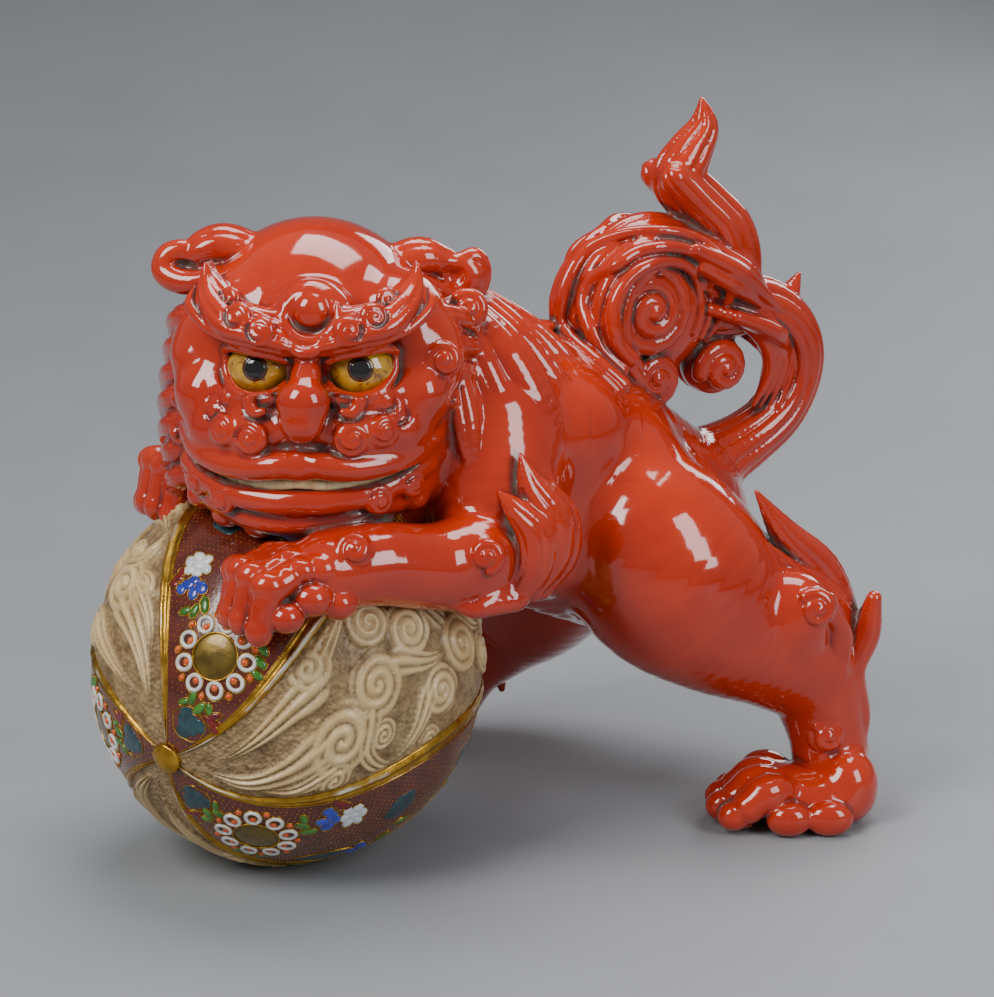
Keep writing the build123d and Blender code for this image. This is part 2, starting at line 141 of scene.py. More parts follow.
# ------------------------------------------------------------------ clay
class Clay:
    """A grid of distances to the whole form, and the nearest piece at every place."""

    def __init__(self, low, high, step):
        self.low = np.array(low, np.float32)
        self.step = step
        self.shape = tuple(int(math.ceil((b - a) / step)) + 1 for a, b in zip(low, high))
        self.whole = np.full(self.shape, FAR, np.float32)
        self.near = np.full(self.shape, FAR, np.float16)
        self.near_piece = np.zeros(self.shape, np.uint8)
        self.names = ["none"]
        self.reach = {}                 # the window that each piece's forms cover

    def window(self, low, high):
        first = np.floor((np.asarray(low) - self.low) / self.step).astype(int)
        last = np.ceil((np.asarray(high) - self.low) / self.step).astype(int) + 1
        first = np.maximum(first, 0)
        last = np.minimum(last, self.shape)
        return tuple(slice(int(a), int(b)) for a, b in zip(first, last))

    def grid(self, window):
        axes = [(np.arange(s.start, s.stop, dtype=np.float32) * self.step + self.low[i])
                for i, s in enumerate(window)]
        return axes[0][:, None, None], axes[1][None, :, None], axes[2][None, None, :]

    def press(self, name, form, blend=1.0):
        """Add a form to the piece called name, blended into what is there over a distance."""
        window = self.window(form.low - MARGIN, form.high + MARGIN)
        distance = form.distance(self, window)
        whole = self.whole[window]
        gap = np.maximum(blend - np.abs(whole - distance), 0) / blend
        np.minimum(whole, distance, out=whole)
        whole -= gap * gap * (blend / 4)
        if name not in self.names:
            self.names.append(name)
        distance = distance.astype(np.float16)
        nearer = distance < self.near[window]
        self.near[window][nearer] = distance[nearer]
        self.near_piece[window][nearer] = self.names.index(name)
        low = np.array([s.start for s in window])
        high = np.array([s.stop for s in window])
        if name in self.reach:
            low = np.minimum(low, self.reach[name][0])
            high = np.maximum(high, self.reach[name][1])
        self.reach[name] = (low, high)

    def cut(self, form, blend=0.8):
        """Take a form away from everything."""
        window = self.window(form.low - 3, form.high + 3)
        distance = -form.distance(self, window)
        whole = self.whole[window]
        gap = np.maximum(blend - np.abs(whole - distance), 0) / blend
        np.maximum(whole, distance, out=whole)
        whole += gap * gap * (blend / 4)

    def piece_field(self, name):
        """The whole form, kept to a little past the places that are nearest to the piece."""
        low, high = self.reach[name]
        window = tuple(slice(int(a), int(b)) for a, b in zip(low, high))
        share = (self.near_piece[window] == self.names.index(name)).astype(np.float32)
        for axis in (0, 1, 2, 0, 1, 2):
            share = np.moveaxis(share, axis, 0)
            total = share.copy()
            total[1:] += share[:-1]
            total[:-1] += share[1:]
            share = np.moveaxis(total / 3, 0, axis)
        return window, np.maximum(self.whole[window], (0.10 - share) * 3.5 * STEP)

    def seat(self, point, way, out=30.0, sink=0.0):
        """Where a line coming in along way first meets the form."""
        way = unit(way)
        steps = np.arange(out, -out, -0.4)
        places = np.asarray(point, float) + steps[:, None] * way
        inside = self.sample(self.whole, (places - self.low) / self.step) < 0
        first = int(np.argmax(inside)) if inside.any() else len(steps) // 2
        return places[first] - way * sink

    def drape(self, points, way, lift=0.0, out=30.0):
        """Seat each point of a path, lifted off the form."""
        return [self.seat(point, way, out=out, sink=-lift) for point in points]

    def sample(self, field, points):
        """Read a field at places given in grid steps, between its grid points."""
        top = np.array(field.shape) - 2
        base = np.clip(np.floor(points).astype(int), 0, top)
        part = np.clip(points - base, 0, 1)
        total = 0
        for corner in range(8):
            step = np.array([(corner >> 2) & 1, (corner >> 1) & 1, corner & 1])
            weight = np.prod(np.where(step, part, 1 - part), axis=1)
            at = base + step
            total = total + weight * field[at[:, 0], at[:, 1], at[:, 2]]
        return total


class Egg:
    """An ellipsoid, with its three directions given as rows."""

    def __init__(self, centre, radii, axes=None):
        self.centre = np.asarray(centre, float)
        self.radii = np.asarray(radii, float)
        self.axes = np.eye(3) if axes is None else np.asarray(axes, float)
        half = np.sqrt(((self.axes * self.radii[:, None]) ** 2).sum(0))
        self.low, self.high = self.centre - half, self.centre + half

    def distance(self, clay, window):
        x, y, z = clay.grid(window)
        x, y, z = x - self.centre[0], y - self.centre[1], z - self.centre[2]
        scaled, squared = 0, 0
        for axis, radius in zip(self.axes.astype(np.float32), self.radii):
            along = (x * axis[0] + y * axis[1] + z * axis[2]) / np.float32(radius)
            scaled = scaled + along ** 2
            squared = squared + (along / np.float32(radius)) ** 2
        scaled = np.sqrt(scaled)
        return scaled * (scaled - 1) / np.maximum(np.sqrt(squared), 1e-4)


def smooth_path(points, radii, per):
    """Points and radii along a Catmull-Rom curve through the given ones."""
    points = np.asarray(points, float)
    rows = np.column_stack([points, np.asarray(radii, float)])
    rows = np.vstack([2 * rows[0] - rows[1], rows, 2 * rows[-1] - rows[-2]])
    out = []
    for i in range(1, len(rows) - 2):
        a, b, c, d = rows[i - 1:i + 3]
        for t in np.arange(per) / per:
            out.append(0.5 * (2 * b + (c - a) * t + (2 * a - 5 * b + 4 * c - d) * t ** 2
                              + (3 * b - a - 3 * c + d) * t ** 3))
    out.append(rows[-2])
    out = np.array(out)
    return out[:, :3], np.maximum(out[:, 3], 0.3)


class Lock:
    """A tapering form along a curve: a limb, a lock of hair or a cord of clay.

    flat scales its thickness in the direction called side, and strands are the ridges round it,
    parted by grooves of the given depth that wind round by twist turns.
    """

    def __init__(self, points, radii, side=UP, flat=1.0, strands=0, groove=0.0, twist=0.0, per=5):
        self.path, self.radii = smooth_path(points, radii, per)
        self.flat, self.strands, self.groove, self.twist = flat, strands, groove, twist
        tangents = np.gradient(self.path, axis=0)
        tangents /= np.linalg.norm(tangents, axis=1)[:, None] + 1e-9
        side = np.asarray(side, float)
        sides = side - (tangents @ side)[:, None] * tangents
        self.sides = sides / (np.linalg.norm(sides, axis=1)[:, None] + 1e-9)
        widest = self.radii.max()
        self.low, self.high = self.path.min(0) - widest, self.path.max(0) + widest

    def distance(self, clay, window):
        out = np.full([s.stop - s.start for s in window], FAR, np.float32)
        count = len(self.path) - 1
        for i in range(count):
            a, b = self.path[i], self.path[i + 1]
            ra, rb = self.radii[i], self.radii[i + 1]
            margin = max(ra, rb) + MARGIN
            part = clay.window(np.minimum(a, b) - margin, np.maximum(a, b) + margin)
            part = tuple(slice(max(p.start, w.start), min(p.stop, w.stop)) for p, w in zip(part, window))
            if any(p.stop <= p.start for p in part):
                continue
            here = tuple(slice(p.start - w.start, p.stop - w.start) for p, w in zip(part, window))
            x, y, z = clay.grid(part)
            x, y, z = x - np.float32(a[0]), y - np.float32(a[1]), z - np.float32(a[2])
            run = (b - a).astype(np.float32)
            length = float(run @ run) + 1e-9
            t = np.clip((x * run[0] + y * run[1] + z * run[2]) / np.float32(length), 0, 1)
            x, y, z = x - t * run[0], y - t * run[1], z - t * run[2]
            radius = ra + (rb - ra) * t
            if self.flat == 1.0 and not self.strands:
                distance = np.sqrt(x * x + y * y + z * z) - radius
            else:
                side = (self.sides[i] + self.sides[i + 1]) / 2
                other = np.cross(run / math.sqrt(length), side)
                rise = (x * side[0] + y * side[1] + z * side[2]) / np.float32(self.flat)
                over = x * other[0] + y * other[1] + z * other[2]
                along = x * run[0] + y * run[1] + z * run[2]
                reach = np.sqrt(rise * rise + over * over + along * along / np.float32(length))
                if self.strands:
                    turn = np.arctan2(rise, over) * (self.strands / 2)
                    turn = turn + math.pi * self.twist * self.strands * ((i + t) / count)
                    depth = self.groove * np.minimum(radius / self.radii.max() + 0.25, 1)
                    radius = radius - depth * (1 - np.abs(np.cos(turn))) ** 2
                distance = (reach - radius) * min(self.flat, 1.0)
            out[here] = np.minimum(out[here], distance)
        return out


def square_to(way, hint=UP):
    """Two directions square to a way, the first one as near to the hint as can be."""
    way = unit(way)
    first = unit(hint - (way @ hint) * way)
    return first, np.cross(way, first)


def spiral(centre, first, second, way, turns, start, spin, shape, steps):
    """A cord wound in a spiral; shape gives reach, rise and radius for a share of its length."""
    points, radii = [], []
    for i in range(steps + 1):
        share = i / steps
        angle = math.radians(start) + spin * 2 * math.pi * turns * share
        out, rise, size = shape(share)
        points.append(centre + out * (math.cos(angle) * first + math.sin(angle) * second) + way * rise)
        radii.append(size)
    return Lock(points, radii, per=1)


def curl(name, centre, way, radius, turns=1.6, start=0.0, spin=1, lift=0.28, base=0.5):
    """A raised spiral, wound inwards, facing the way given, on a low dome."""
    centre, way = np.asarray(centre, float), unit(way)
    first, second = square_to(way)
    rope = radius / (2 * turns + 0.6) * 1.12
    clay.press(name, Egg(centre - way * 0.35 * radius, (radius * 0.9, radius * 0.9, radius * base),
                         np.array([first, second, way])), 0.8)
    clay.press(name, spiral(centre, first, second, way, turns, start, spin,
                            lambda share: ((radius - rope) * (1 - share) ** 0.9, lift * radius * share,
                                           rope * (1.05 - 0.2 * share)), int(14 * turns)), 0.2)


def button(name, place, way, radius, start, spin, sink, turns=1.5, dome=0.5):
    """A rounded button seated on the clay, with a spiral groove cut into its face."""
    centre, way = clay.seat(place, way, sink=sink), unit(way)
    first, second = square_to(way)
    clay.press(name, Egg(centre, (radius, radius, radius * dome), np.array([first, second, way])), 1.0)

    def groove(share):
        out = radius * (0.84 - 0.74 * share)
        rise = dome * math.sqrt(max(0.0, radius ** 2 - out ** 2)) + 0.25
        return out, rise, max(0.75, radius * 0.15) * (1.1 - 0.3 * share)

    clay.cut(spiral(centre, first, second, way, turns, start, spin, groove, int(16 * turns)), 0.5)


def through(stations, sign=1, at=face, **more):
    """A lock through stations of three places and a radius, mirrored where sign is -1."""
    return Lock([at(sign * a, b, c) for a, b, c, size in stations], [row[3] for row in stations], **more)


def lock(name, stations, blend, sign=1, at=face, **more):
    """Press a lock through its stations."""
    clay.press(name, through(stations, sign, at, **more), blend)


def eggs(name, rows, sign=1, at=face, axes=None):
    """Press eggs, each given by three places, three radii and a blend."""
    for a, b, c, wide, deep, tall, blend in rows:
        clay.press(name, Egg(at(sign * a, b, c), (wide, deep, tall), axes), blend)


clay = Clay(np.array(cad_low, float) / MM - FAR, np.array(cad_high, float) / MM + FAR, STEP)


# ------------------------------------------------------------------ trunk
lock("torso_shell", ((20, 0, 160, 33), (36, 0, 156, 43), (62, 0, 149, 50), (98, 0, 132, 50),
                     (130, 0, 114, 46), (152, 0, 104, 39), (166, 0, 98, 27), (176, 0, 94, 12)), 4, at=body)
eggs("torso_shell", [(back, left, up, wide, wide, tall, 9) for back, left, up, wide, tall in (
    (72, 32, 156, 24, 23), (72, -32, 156, 24, 23), (98, 30, 154, 22, 21), (124, 28, 136, 21, 20),
    (96, -28, 154, 22, 21), (124, -26, 136, 21, 20), (112, 30, 106, 20, 19), (86, 30, 112, 18, 19),
    (112, -30, 106, 20, 19), (136, 8, 88, 20, 20))], at=body)
for back, size in ((74, 9), (88, 9), (102, 9), (116, 8.5), (129, 8), (141, 7.5), (152, 7)):
    top = clay.seat(body(back, 0, 180), UP + BACK * 0.3, out=60, sink=0.8)
    clay.press("mane_crest", Egg(top, (size * 0.85, size * 0.6, 2.8), np.array([BACK, LEFT, UP])), 1.2)


# ------------------------------------------------------------------ hind legs
HIND = {
    "left": (1, (116.0, -5.0),
             ((118, 36, 125, 14), (126, 38, 114, 31), (136, 42, 98, 37), (153, 48, 81, 31),
              (175, 54, 68, 26), (190, 59, 53, 20), (195, 62, 34, 15.5), (197, 64, 16, 14.5))),
    "right": (-1, (-36.5, 82.0),
              ((122, -34, 122, 14), (128, -36, 110, 32), (134, -42, 92, 38), (132, -54, 72, 34),
               (124, -66, 54, 26), (113, -76, 35, 19), (105, -81, 16, 15.5))),
}
TOES = ((-27, -15.5, 6.5, 6.0), (-30.5, -5.2, 6.8, 6.4), (-30.0, 5.6, 6.8, 6.4), (-26, 15.8, 6.5, 6.0))
for side, (sign, (paw_x, paw_y), stations) in HIND.items():
    leg = f"hindleg_{side}"
    paw = f"hindpaw_{side}"
    points = [body(b, l, u) for b, l, u, r in stations]
    out = LEFT * sign
    lock(leg, stations, 7, at=body)
    hock = points[-3]
    for rise, beside, deep, size in ((30, 12, -16, 13), (10, 6, -4, 11)):
        clay.press(leg, Egg(hock + UP * rise + out * beside + BACK * deep, (size, size, size * 1.2)), 6.0)
    strand_top = hock + UP * 26 + out * 8 + BACK * 16
    for i in range(5):
        start = strand_top + UP * (6 - 3 * i) + out * (8 - 4.0 * i) + BACK * 2 * i
        middle = hock + UP * (4 - i) + out * (13 - 5 * i) + BACK * (9 + 1.2 * i)
        low = points[-2] + UP * (4 - i) + out * (9 - 4.5 * i) + BACK * (9 + 1.0 * i)
        clay.press(leg, Lock([start, (start + middle) / 2 + BACK * 2, middle, low, low - UP * 14],
                             (3, 5, 5.2, 4.2, 1.5)), 0.9)
    foot = np.array([paw_x, paw_y, 0.0])

    def sole(x, y, up):
        return foot + (x, y, up)

    eggs(paw, ((6, 0, 9, 21, 16.5, 12, 2), (17, 0, 14, 12, 13, 14, 3), (-8, 0, 12, 13, 15, 9.5, 3)), at=sole)
    for dx, dy, up, size in TOES:
        lock(paw, ((dx + 23, dy * 0.55, up + 6, 5), (dx + 14, dy * 0.85, up + 9, 7.2),
                   (dx + 6, dy, up + 4, 6.4)), 1.2, at=sole)
        eggs(paw, ((dx + 11.5, dy * 0.93, up + 9.5, 6.6, 5.8, 5.6, 0.9),
                   (dx + 0.5, dy * 1.04, up + 0.5, size, size * 0.85, size * 0.92, 0.8),
                   (dx + 4, dy * 0.72, up - 1, 6, 6, 5, 1.2)), at=sole)
    for dy in (-19.5, 19.5):
        eggs(paw, ((-6, dy * 0.93, 6.5, 8.5, 5.5, 6.5, 1), (9, dy * 0.9, 6.5, 9, 5, 6.5, 1),
                   (-13, dy * 0.78, 13, 6, 5, 5, 0.9)), at=sole)
    tuft = f"hock_tuft_{side}"
    ridge = [(4, -14), (9, 2), (10, 20), (2, 40), (-14, 57), (-27, 75)]
    for i, (over, size, tall) in enumerate(((0, 1.0, 1.0), (5.5, 0.8, 0.8), (-5.5, 0.8, 0.86),
                                            (9.5, 0.6, 0.55))):
        hairs = [hock + BACK * b + UP * (u * tall + (1 - tall) * -12) + out * over for b, u in ridge]
        clay.press(tuft, Lock(hairs, np.array((8, 10, 10, 9, 6, 1.0)) * size, side=LEFT, flat=0.75,
                              strands=6, groove=0.9), 0.8)
    for near, ahead, beside, above, size in ((-3, 14, 19, 34, 8.5), (-2, 9, 14, 0, 7.5)):
        back, left, up, radius = stations[near]
        way = out - BACK * 0.35 + UP * 0.15
        centre = clay.seat(body(back - ahead, left + sign * beside, up + above), way, sink=0.5)
        curl(f"hindleg_curls_{side}", centre, way, size, start=40, spin=-sign)
        for i in range(3):
            start = centre + BACK * (6 + 2 * i) + UP * (-4 + 1.5 * i)
            clay.press(leg, Lock([centre + BACK * (size * 0.7) + UP * (3 - 3 * i),
                                  start + BACK * 5 - UP * (6 + 3 * i) - out * 3,
                                  start + BACK * 7 - UP * (20 + 4 * i) - out * 5], (2.6, 3.4, 1.2)), 1.2)


# ------------------------------------------------------------------ forelegs
FORE = {
    "left": (1, (-27, 56, 120),
             ((64, 34, 160, 25), (62, 40, 142, 26), (58, 49, 124, 21), (44, 57, 117, 17),
              (26, 60, 119, 15), (6, 61, 123, 14.5), (-12, 60, 123, 14))),
    "right": (-1, (-20, -33, 138),
              ((54, -34, 160, 27), (54, -42, 142, 27), (48, -50, 126, 20), (30, -54, 126, 15),
               (8, -49, 134, 14), (-9, -40, 137, 13))),
}
for side, (sign, wrist, stations) in FORE.items():
    leg = f"foreleg_{side}"
    paw = f"forepaw_{side}"
    points = [body(b, l, u) for b, l, u, r in stations]
    out = LEFT * sign
    lock(leg, stations, 6, at=body)
    elbow = points[2]
    clay.press(leg, Egg(points[3] + out * 3 + UP * 6, (15, 15, 12)), 5.0)
    centre = body(*wrist)
    clay.press(paw, Egg(centre + BACK * 4 + UP * 1.5, (15, 14, 11.5)), 2.0)
    clay.press(paw, Egg(centre - BACK * 4.5 + UP * 0.5, (12, 13, 10)), 2.0)
    for spread in (-1.5, -0.5, 0.5, 1.5):
        bend = abs(spread) * 1.8
        root = centre - BACK * 4 + LEFT * spread * 7.4 + UP * (7 - bend)
        knuckle = centre - BACK * (13.5 - bend) + LEFT * spread * 7.9 + UP * (3.5 - bend * 1.1)
        tip = centre - BACK * (18 - bend * 1.4) + LEFT * spread * 8.0 + UP * (-6.5 - bend * 1.2)
        clay.press(paw, Lock([root, knuckle, tip], (5.2, 5.2, 4.4)), 1.0)
        clay.press(paw, Egg(knuckle - BACK * 0.6 + UP * 2.2, (6.2, 5.2, 5.6)), 0.8)
        clay.press(paw, Egg(root + BACK * 5 + UP * 2.2, (5.8, 5.0, 4.8)), 0.8)
        clay.press(paw, Egg(tip - BACK * 0.8 - UP * 2.5, (4.8, 4.9, 5.4)), 0.8)
    for b, l, u, size in ((4, 13, -3, 7.5), (-6, 14, -8, 6.5), (9, 10, 6, 7.5), (14, 13, -6, 7.0)):
        clay.press(paw, Egg(centre + BACK * b + out * l + UP * u, (size, size, size * 0.85)), 0.9)
    flames = (((6, 12, -16), (11, 15, -3), (10, 15, 10), (4, 14, 22), (1, 12, 33), (6, 9, 9, 5, 0.8)),
              ((-2, 15, -18), (4, 18, -6), (3, 18, 6), (-4, 17, 15), (-9, 15, 21), (5, 7, 7, 4, 0.8)),
              ((12, 8, -18), (18, 10, -6), (19, 10, 6), (16, 9, 15), (15, 7, 23), (5, 8, 7, 4, 0.8)))
    for flame in flames:
        hairs = [elbow + BACK * b + out * (l + 6) + UP * u for b, l, u in flame[:-1]]
        clay.press(f"elbow_tuft_{side}", Lock(hairs, flame[-1], side=LEFT, flat=0.7, strands=6,
                                              groove=0.8), 0.9)
    way = out - BACK * 0.5 + UP * 0.25
    curl(f"foreleg_curls_{side}", clay.seat(elbow - BACK * 4 - UP * 6, way), way, 7.4, start=200, spin=sign)
    way = way + UP * 0.4
    curl(f"foreleg_curls_{side}", clay.seat(points[-1] + BACK * 10 + UP * 2, way), way, 7.2, start=120,
         spin=-sign)
    for i in range(5):
        start = elbow + BACK * (-6 + 3 * i) + out * (19 - 0.8 * i) - UP * (11 - i)
        end = points[3] - BACK * (14 - 4.5 * i) + out * (12 + 0.6 * i) - UP * (10 + 0.6 * i)
        clay.press(leg, Lock([start, (start + end) / 2 + out * 2.5 - UP * 5, end], (3.2, 4.0, 1.2)), 1.0)


# ------------------------------------------------------------------ tail
def tail_lock(name, stations, blend, over=0.0, size=1.0, **more):
    """A lock in the tail's upright plane, from stations of back, up and radius."""
    clay.press(name, Lock([tail(b, u, over) for b, u, r in stations], [r * size for b, u, r in stations],
                          side=LEFT, **more), blend)


tail_lock("tail_stem", ((180, 124, 14), (197, 131, 11.5), (211, 140, 10.5), (219, 152, 10), (220, 165, 10.5),
                        (213, 177, 11), (199, 184, 12), (182, 183, 11)), 3, strands=10, groove=1.2)
tail_lock("tail_stem", ((207, 180, 6), (215, 186, 4.5), (220, 194, 1)), 1.5)
eggs("torso_shell", ((172, 120, 0, 16, 14, 15, 8),), at=tail)

PLUME = ((144, 160, 9), (133, 170, 12), (128.5, 185, 13), (131.5, 199, 12.5), (141, 208.5, 12.5),
         (152, 212, 12), (168, 207, 12), (183, 199, 12), (193, 192, 9))
for over, size, strands in ((0, 1.0, 10), (11, 0.72, 8), (-11, 0.72, 8)):
    clay.press("tail_plume", Lock([tail(b, u, over * (r / 13)) for b, u, r in PLUME],
                                  [r * size for b, u, r in PLUME], side=LEFT, strands=strands,
                                  groove=1.4, twist=0.15), 1.5)
FLAME = ((184, 184, 9), (188, 194, 11.5), (188.5, 203.5, 12), (185, 214.5, 11.5), (175.5, 224, 11),
         (164.5, 235, 10.5), (168.5, 244, 9), (174.5, 252.5, 6.5), (175.2, 259, 3.8), (174, 265, 0.8))
tail_lock("tail_flame", FLAME, 2, flat=0.95, strands=8, groove=1.6, twist=0.1)
for over in (7, -7):
    tail_lock("tail_flame", [(b - 6, u + 2, r) for b, u, r in FLAME[1:6]], 1, over, 0.55, strands=4,
              groove=0.8)
eggs("tail_scrolls", ((152, 188, 0, 28, 26, 14, 3), (148, 163, 0, 16, 15, 13, 2),
                      (180, 164, 0, 12.5, 12.5, 9, 2)), at=tail, axes=np.array([BACK, UP, LEFT]))
# hairs laid over the stem and the plume: back, up and out from the middle, each with its step
HAIRS = (("tail_stem", 4, (2.6, 3.2, 2.8, 2.2, 0.8),
          ((172, 3, 187, -1, 12, -1.3), (188, 3.5, 181, -1.5, 12.5, -1.3), (199, 3.8, 169, -1, 11, -1.3),
           (201, 3.8, 157, 0, 9, -1.2), (196, 3.5, 146, -1, 7, -1))),
         ("tail_plume", 3, (2.6, 3.6, 3.0, 1.0),
          ((160, 4, 212, -7, 9, 1.5), (178, 2, 203, -7, 11, 1), (193, 1, 192, -5, 9, 0.5),
           (205, 0, 183, -4, 7, -1))))
for sign in (1, -1):
    out = LEFT * sign
    for back, up, size, start, turns, spin in ((143, 190, 22, 60, 2.6, 1), (147, 163, 11.5, 200, 1.7, -1),
                                               (180, 163, 12.5, 100, 1.8, 1)):
        curl("tail_scrolls", clay.seat(tail(back, up), out, sink=1.5), out, size, turns, start,
             spin * -sign, base=0.35)
    for size in (1.0, 1.26, 1.52):
        ring = [tail(146 + 21.5 * size * math.cos(turn), 189 + 20 * size * math.sin(turn))
                for turn in np.radians(range(-30, 231, 20))]
        clay.press("tail_scrolls", Lock(clay.drape(ring, out, 0.5), np.linspace(1.6, 3.4, len(ring)), per=3),
                   0.5)
    for name, count, radii, rows in HAIRS:
        for i in range(count):
            hair = [tail(b + i * db, u + i * du, sign * (l + i * dl)) for b, db, u, du, l, dl in rows]
            clay.press(name, Lock(clay.drape(hair, out, -0.5), radii, per=4), 0.8)


# ------------------------------------------------------------------ head
eggs("head_shell", ((1, 2, 3, 45, 44, 50, 3), (0, 12, 4, 43, 38, 44, 6)), at=head, axes=CROWN_AXES.T)
for sign in (-1, 1):
    eggs("head_shell", ((24, -12, -13, 25, 28, 30, 8), (33, -14, 12, 15, 20, 22, 7),
                        (28, -16, 26, 13, 16, 12, 6)), sign)
eggs("head_shell", ((0, -14, -18, 34, 31, 30, 8), (0, -36, 22, 15, 11, 14, 6)))

for sign in (-1, 1):
    eggs("muzzle", ((15.5, -39, -12.5, 16.5, 14, 11.5, 3), (28, -32.5, -13.5, 14, 13, 12, 5)), sign)
    eggs("head_shell", ((37, -28, -2, 11, 12, 11, 5), (42, -17, 9, 9, 13, 14, 5)), sign)
    lock("muzzle", ((1, -51.5, -20.5, 3.6), (8, -52.5, -22.5, 4.8), (18, -49, -23.8, 5),
                    (28, -42.5, -23.6, 5), (37, -33.5, -21.5, 4.8), (42, -25, -18, 4)), 2.5, sign)
    lock("muzzle", ((7, -48.5, 3, 2.4), (16, -46, -2.2, 3.4), (27, -41, -1.5, 3.4), (34, -34, 4, 2.2)), 2.5,
         sign)
eggs("muzzle", ((0, -42, -10, 14, 12, 9, 2.5),))
for sign in (-1, 1):
    eggs("head_shell", ((37.5, -27, -5, 9, 10, 10, 2), (42, -21, 9, 8.5, 11, 8.5, 2.5)), sign)

# the lower lip, chin and jaw
LIP = ((-41, -26, -27.5, 4.2), (-33, -35.5, -31.5, 4.8), (-21, -44, -34.6, 5.2), (-9, -48, -36, 5.4),
       (0, -49, -36, 5.4), (9, -48, -36, 5.4), (21, -44, -34.6, 5.2), (33, -35.5, -31.5, 4.8),
       (41, -26, -27.5, 4.2))
lock("lower_jaw", LIP, 2)
lock("lower_jaw", [(r * 0.9, b + 3.5, u - 8.5, size * 0.9) for r, b, u, size in LIP], 1.2)
eggs("lower_jaw", ((0, -31, -40, 28, 17, 12, 3),))
for sign in (-1, 1):
    eggs("lower_jaw", ((24, -26, -37, 14, 14, 11, 3), (33, -18, -34, 12, 13, 12, 3)), sign)

# the parting of the lips, where the teeth show, then the folds about it
eggs("muzzle", ((0, -50.5, -24, 9, 5.5, 4.4, 2),))
MOUTH = ((-41, -31, -23.5, 1), (-33, -40, -27.5, 1.4), (-22, -48, -30, 1.5), (-10, -53, -30.2, 1.5),
         (0, -55, -30, 1.5), (10, -53, -30.2, 1.5), (22, -48, -30, 1.5), (33, -40, -27.5, 1.4),
         (41, -31, -23.5, 1))
for depth in (0, 4):
    clay.cut(through([(r, b + depth, u, size) for r, b, u, size in MOUTH]), 0.8)
for sign in (-1, 1):
    clay.cut(through(((3, -51.5, -41, 0.9), (16, -48, -40, 1.2), (29, -39.5, -37, 0.8)), sign), 1.2)

# nose
lock("nose", ((0, -43, 14, 4.4), (0, -47, 10, 4.8), (0, -50, 5, 6)), 2)
eggs("nose", ((0, -53, -0.6, 9.2, 8.4, 9, 1.4), (0, -54.6, -6.6, 7.4, 7, 7.4, 1.6)))
for sign in (-1, 1):
    clay.cut(through(((10.4, -52.4, 2.5, 1), (11, -52.6, -1.5, 1.6), (10, -53.6, -5.5, 1.2)), sign), 0.8)
    lock("nose", ((10.2, -50, 2.6, 1.5), (13.6, -51.4, 4.6, 2.1), (17.4, -50.8, 3.2, 2.4),
                  (18.8, -50.4, -0.8, 2.4), (16.6, -51.6, -4.2, 2.1), (13.6, -52.6, -3.6, 1.4)), 0.5, sign)

# the eyes' hollows and lids
for sign in (-1, 1):
    for right, back, up, radii, blend in ((17.8, -47, 8, (10.2, 9.5, 7.6), 1),
                                          (17.4, -47, 10.8, (9.8, 9.5, 5.4), 1),
                                          (9.8, -50, 7, (4.5, 6, 3.6), 1.2)):
        clay.cut(Egg(face(sign * right, back, up), radii), blend)
    lock("head_shell", ((7, -45.4, 4.8, 1.2), (10.8, -46.8, 1.6, 1.7), (17.5, -47.2, 0, 2),
                        (24.5, -44, 1.4, 2), (28.6, -38.8, 6.6, 1.7), (29, -37, 12, 1.3)), 0.8, sign)
    lock("head_shell", ((7, -46.4, 12.4, 1.4), (12, -47.4, 14.8, 1.9), (19, -46.4, 16.2, 2.1),
                        (26, -41.8, 16.4, 2), (29.5, -37.2, 14, 1.4)), 0.8, sign)

# brows: a heavy V, with locks sweeping up to a point at each end and curls along its top
BROW = ((4, -46.4, 16.6, 3.4), (10, -47.6, 19.4, 5.0), (18, -46.2, 22.0, 6.2), (26, -42.0, 24.0, 7.0),
        (31.5, -36.9, 29.0, 6.2), (34.6, -32.5, 34.0, 4.4), (36, -30.3, 38.5, 2.6), (36.4, -29.6, 42.5, 1.0))
for sign in (-1, 1):
    name = sided("brow", sign)
    for lift, deep, size in ((0, 0, 1.0), (3.6, 2.2, 0.85), (6.4, 5.2, 0.72)):
        lock(name, [(r - 0.16 * lift, b + deep, u + lift * (1 - i / 7), s * size)
                    for i, (r, b, u, s) in enumerate(BROW)], 0.8, sign, flat=0.9, strands=6, groove=0.8)
    for i in range(4):
        right = 15 + 4.6 * i
        lock(name, ((right, -49.2 + 1.2 * i, 17.4 + 0.9 * i, 1),
                    (right + 6.5, -46.6 + 1.9 * i, 17.8 + 1.9 * i, 1.9),
                    (right + 12.5, -41.5 + 2.4 * i, 21 + 2.8 * i, 2),
                    (right + 16 - 1.6 * i, -36.5 + 1.9 * i, 26.5 + 2.9 * i, 0.6)), 0.5, sign)
    for right, back, up, size, turn in ((14.6, -49.2, 23.4, 5.2, 20), (22.6, -45.8, 27.6, 5.2, 40),
                                        (28.4, -40.8, 33.0, 4.4, 60)):
        button(name, face(sign * right, back, up), face_way(sign * right * 0.024, -1, 0.3), size,
               (turn - 90) * sign, -sign, 1.2)
eggs("head_shell", ((0, -45.5, 15.5, 5, 4, 5, 1.4),))
lock("head_shell", ((-6.5, -48.2, 20, 1.2), (-3.4, -49, 16.8, 2), (0, -49.6, 15.8, 2.3), (3.4, -49, 16.8, 2),
                    (6.5, -48.2, 20, 1.2)), 0.6)

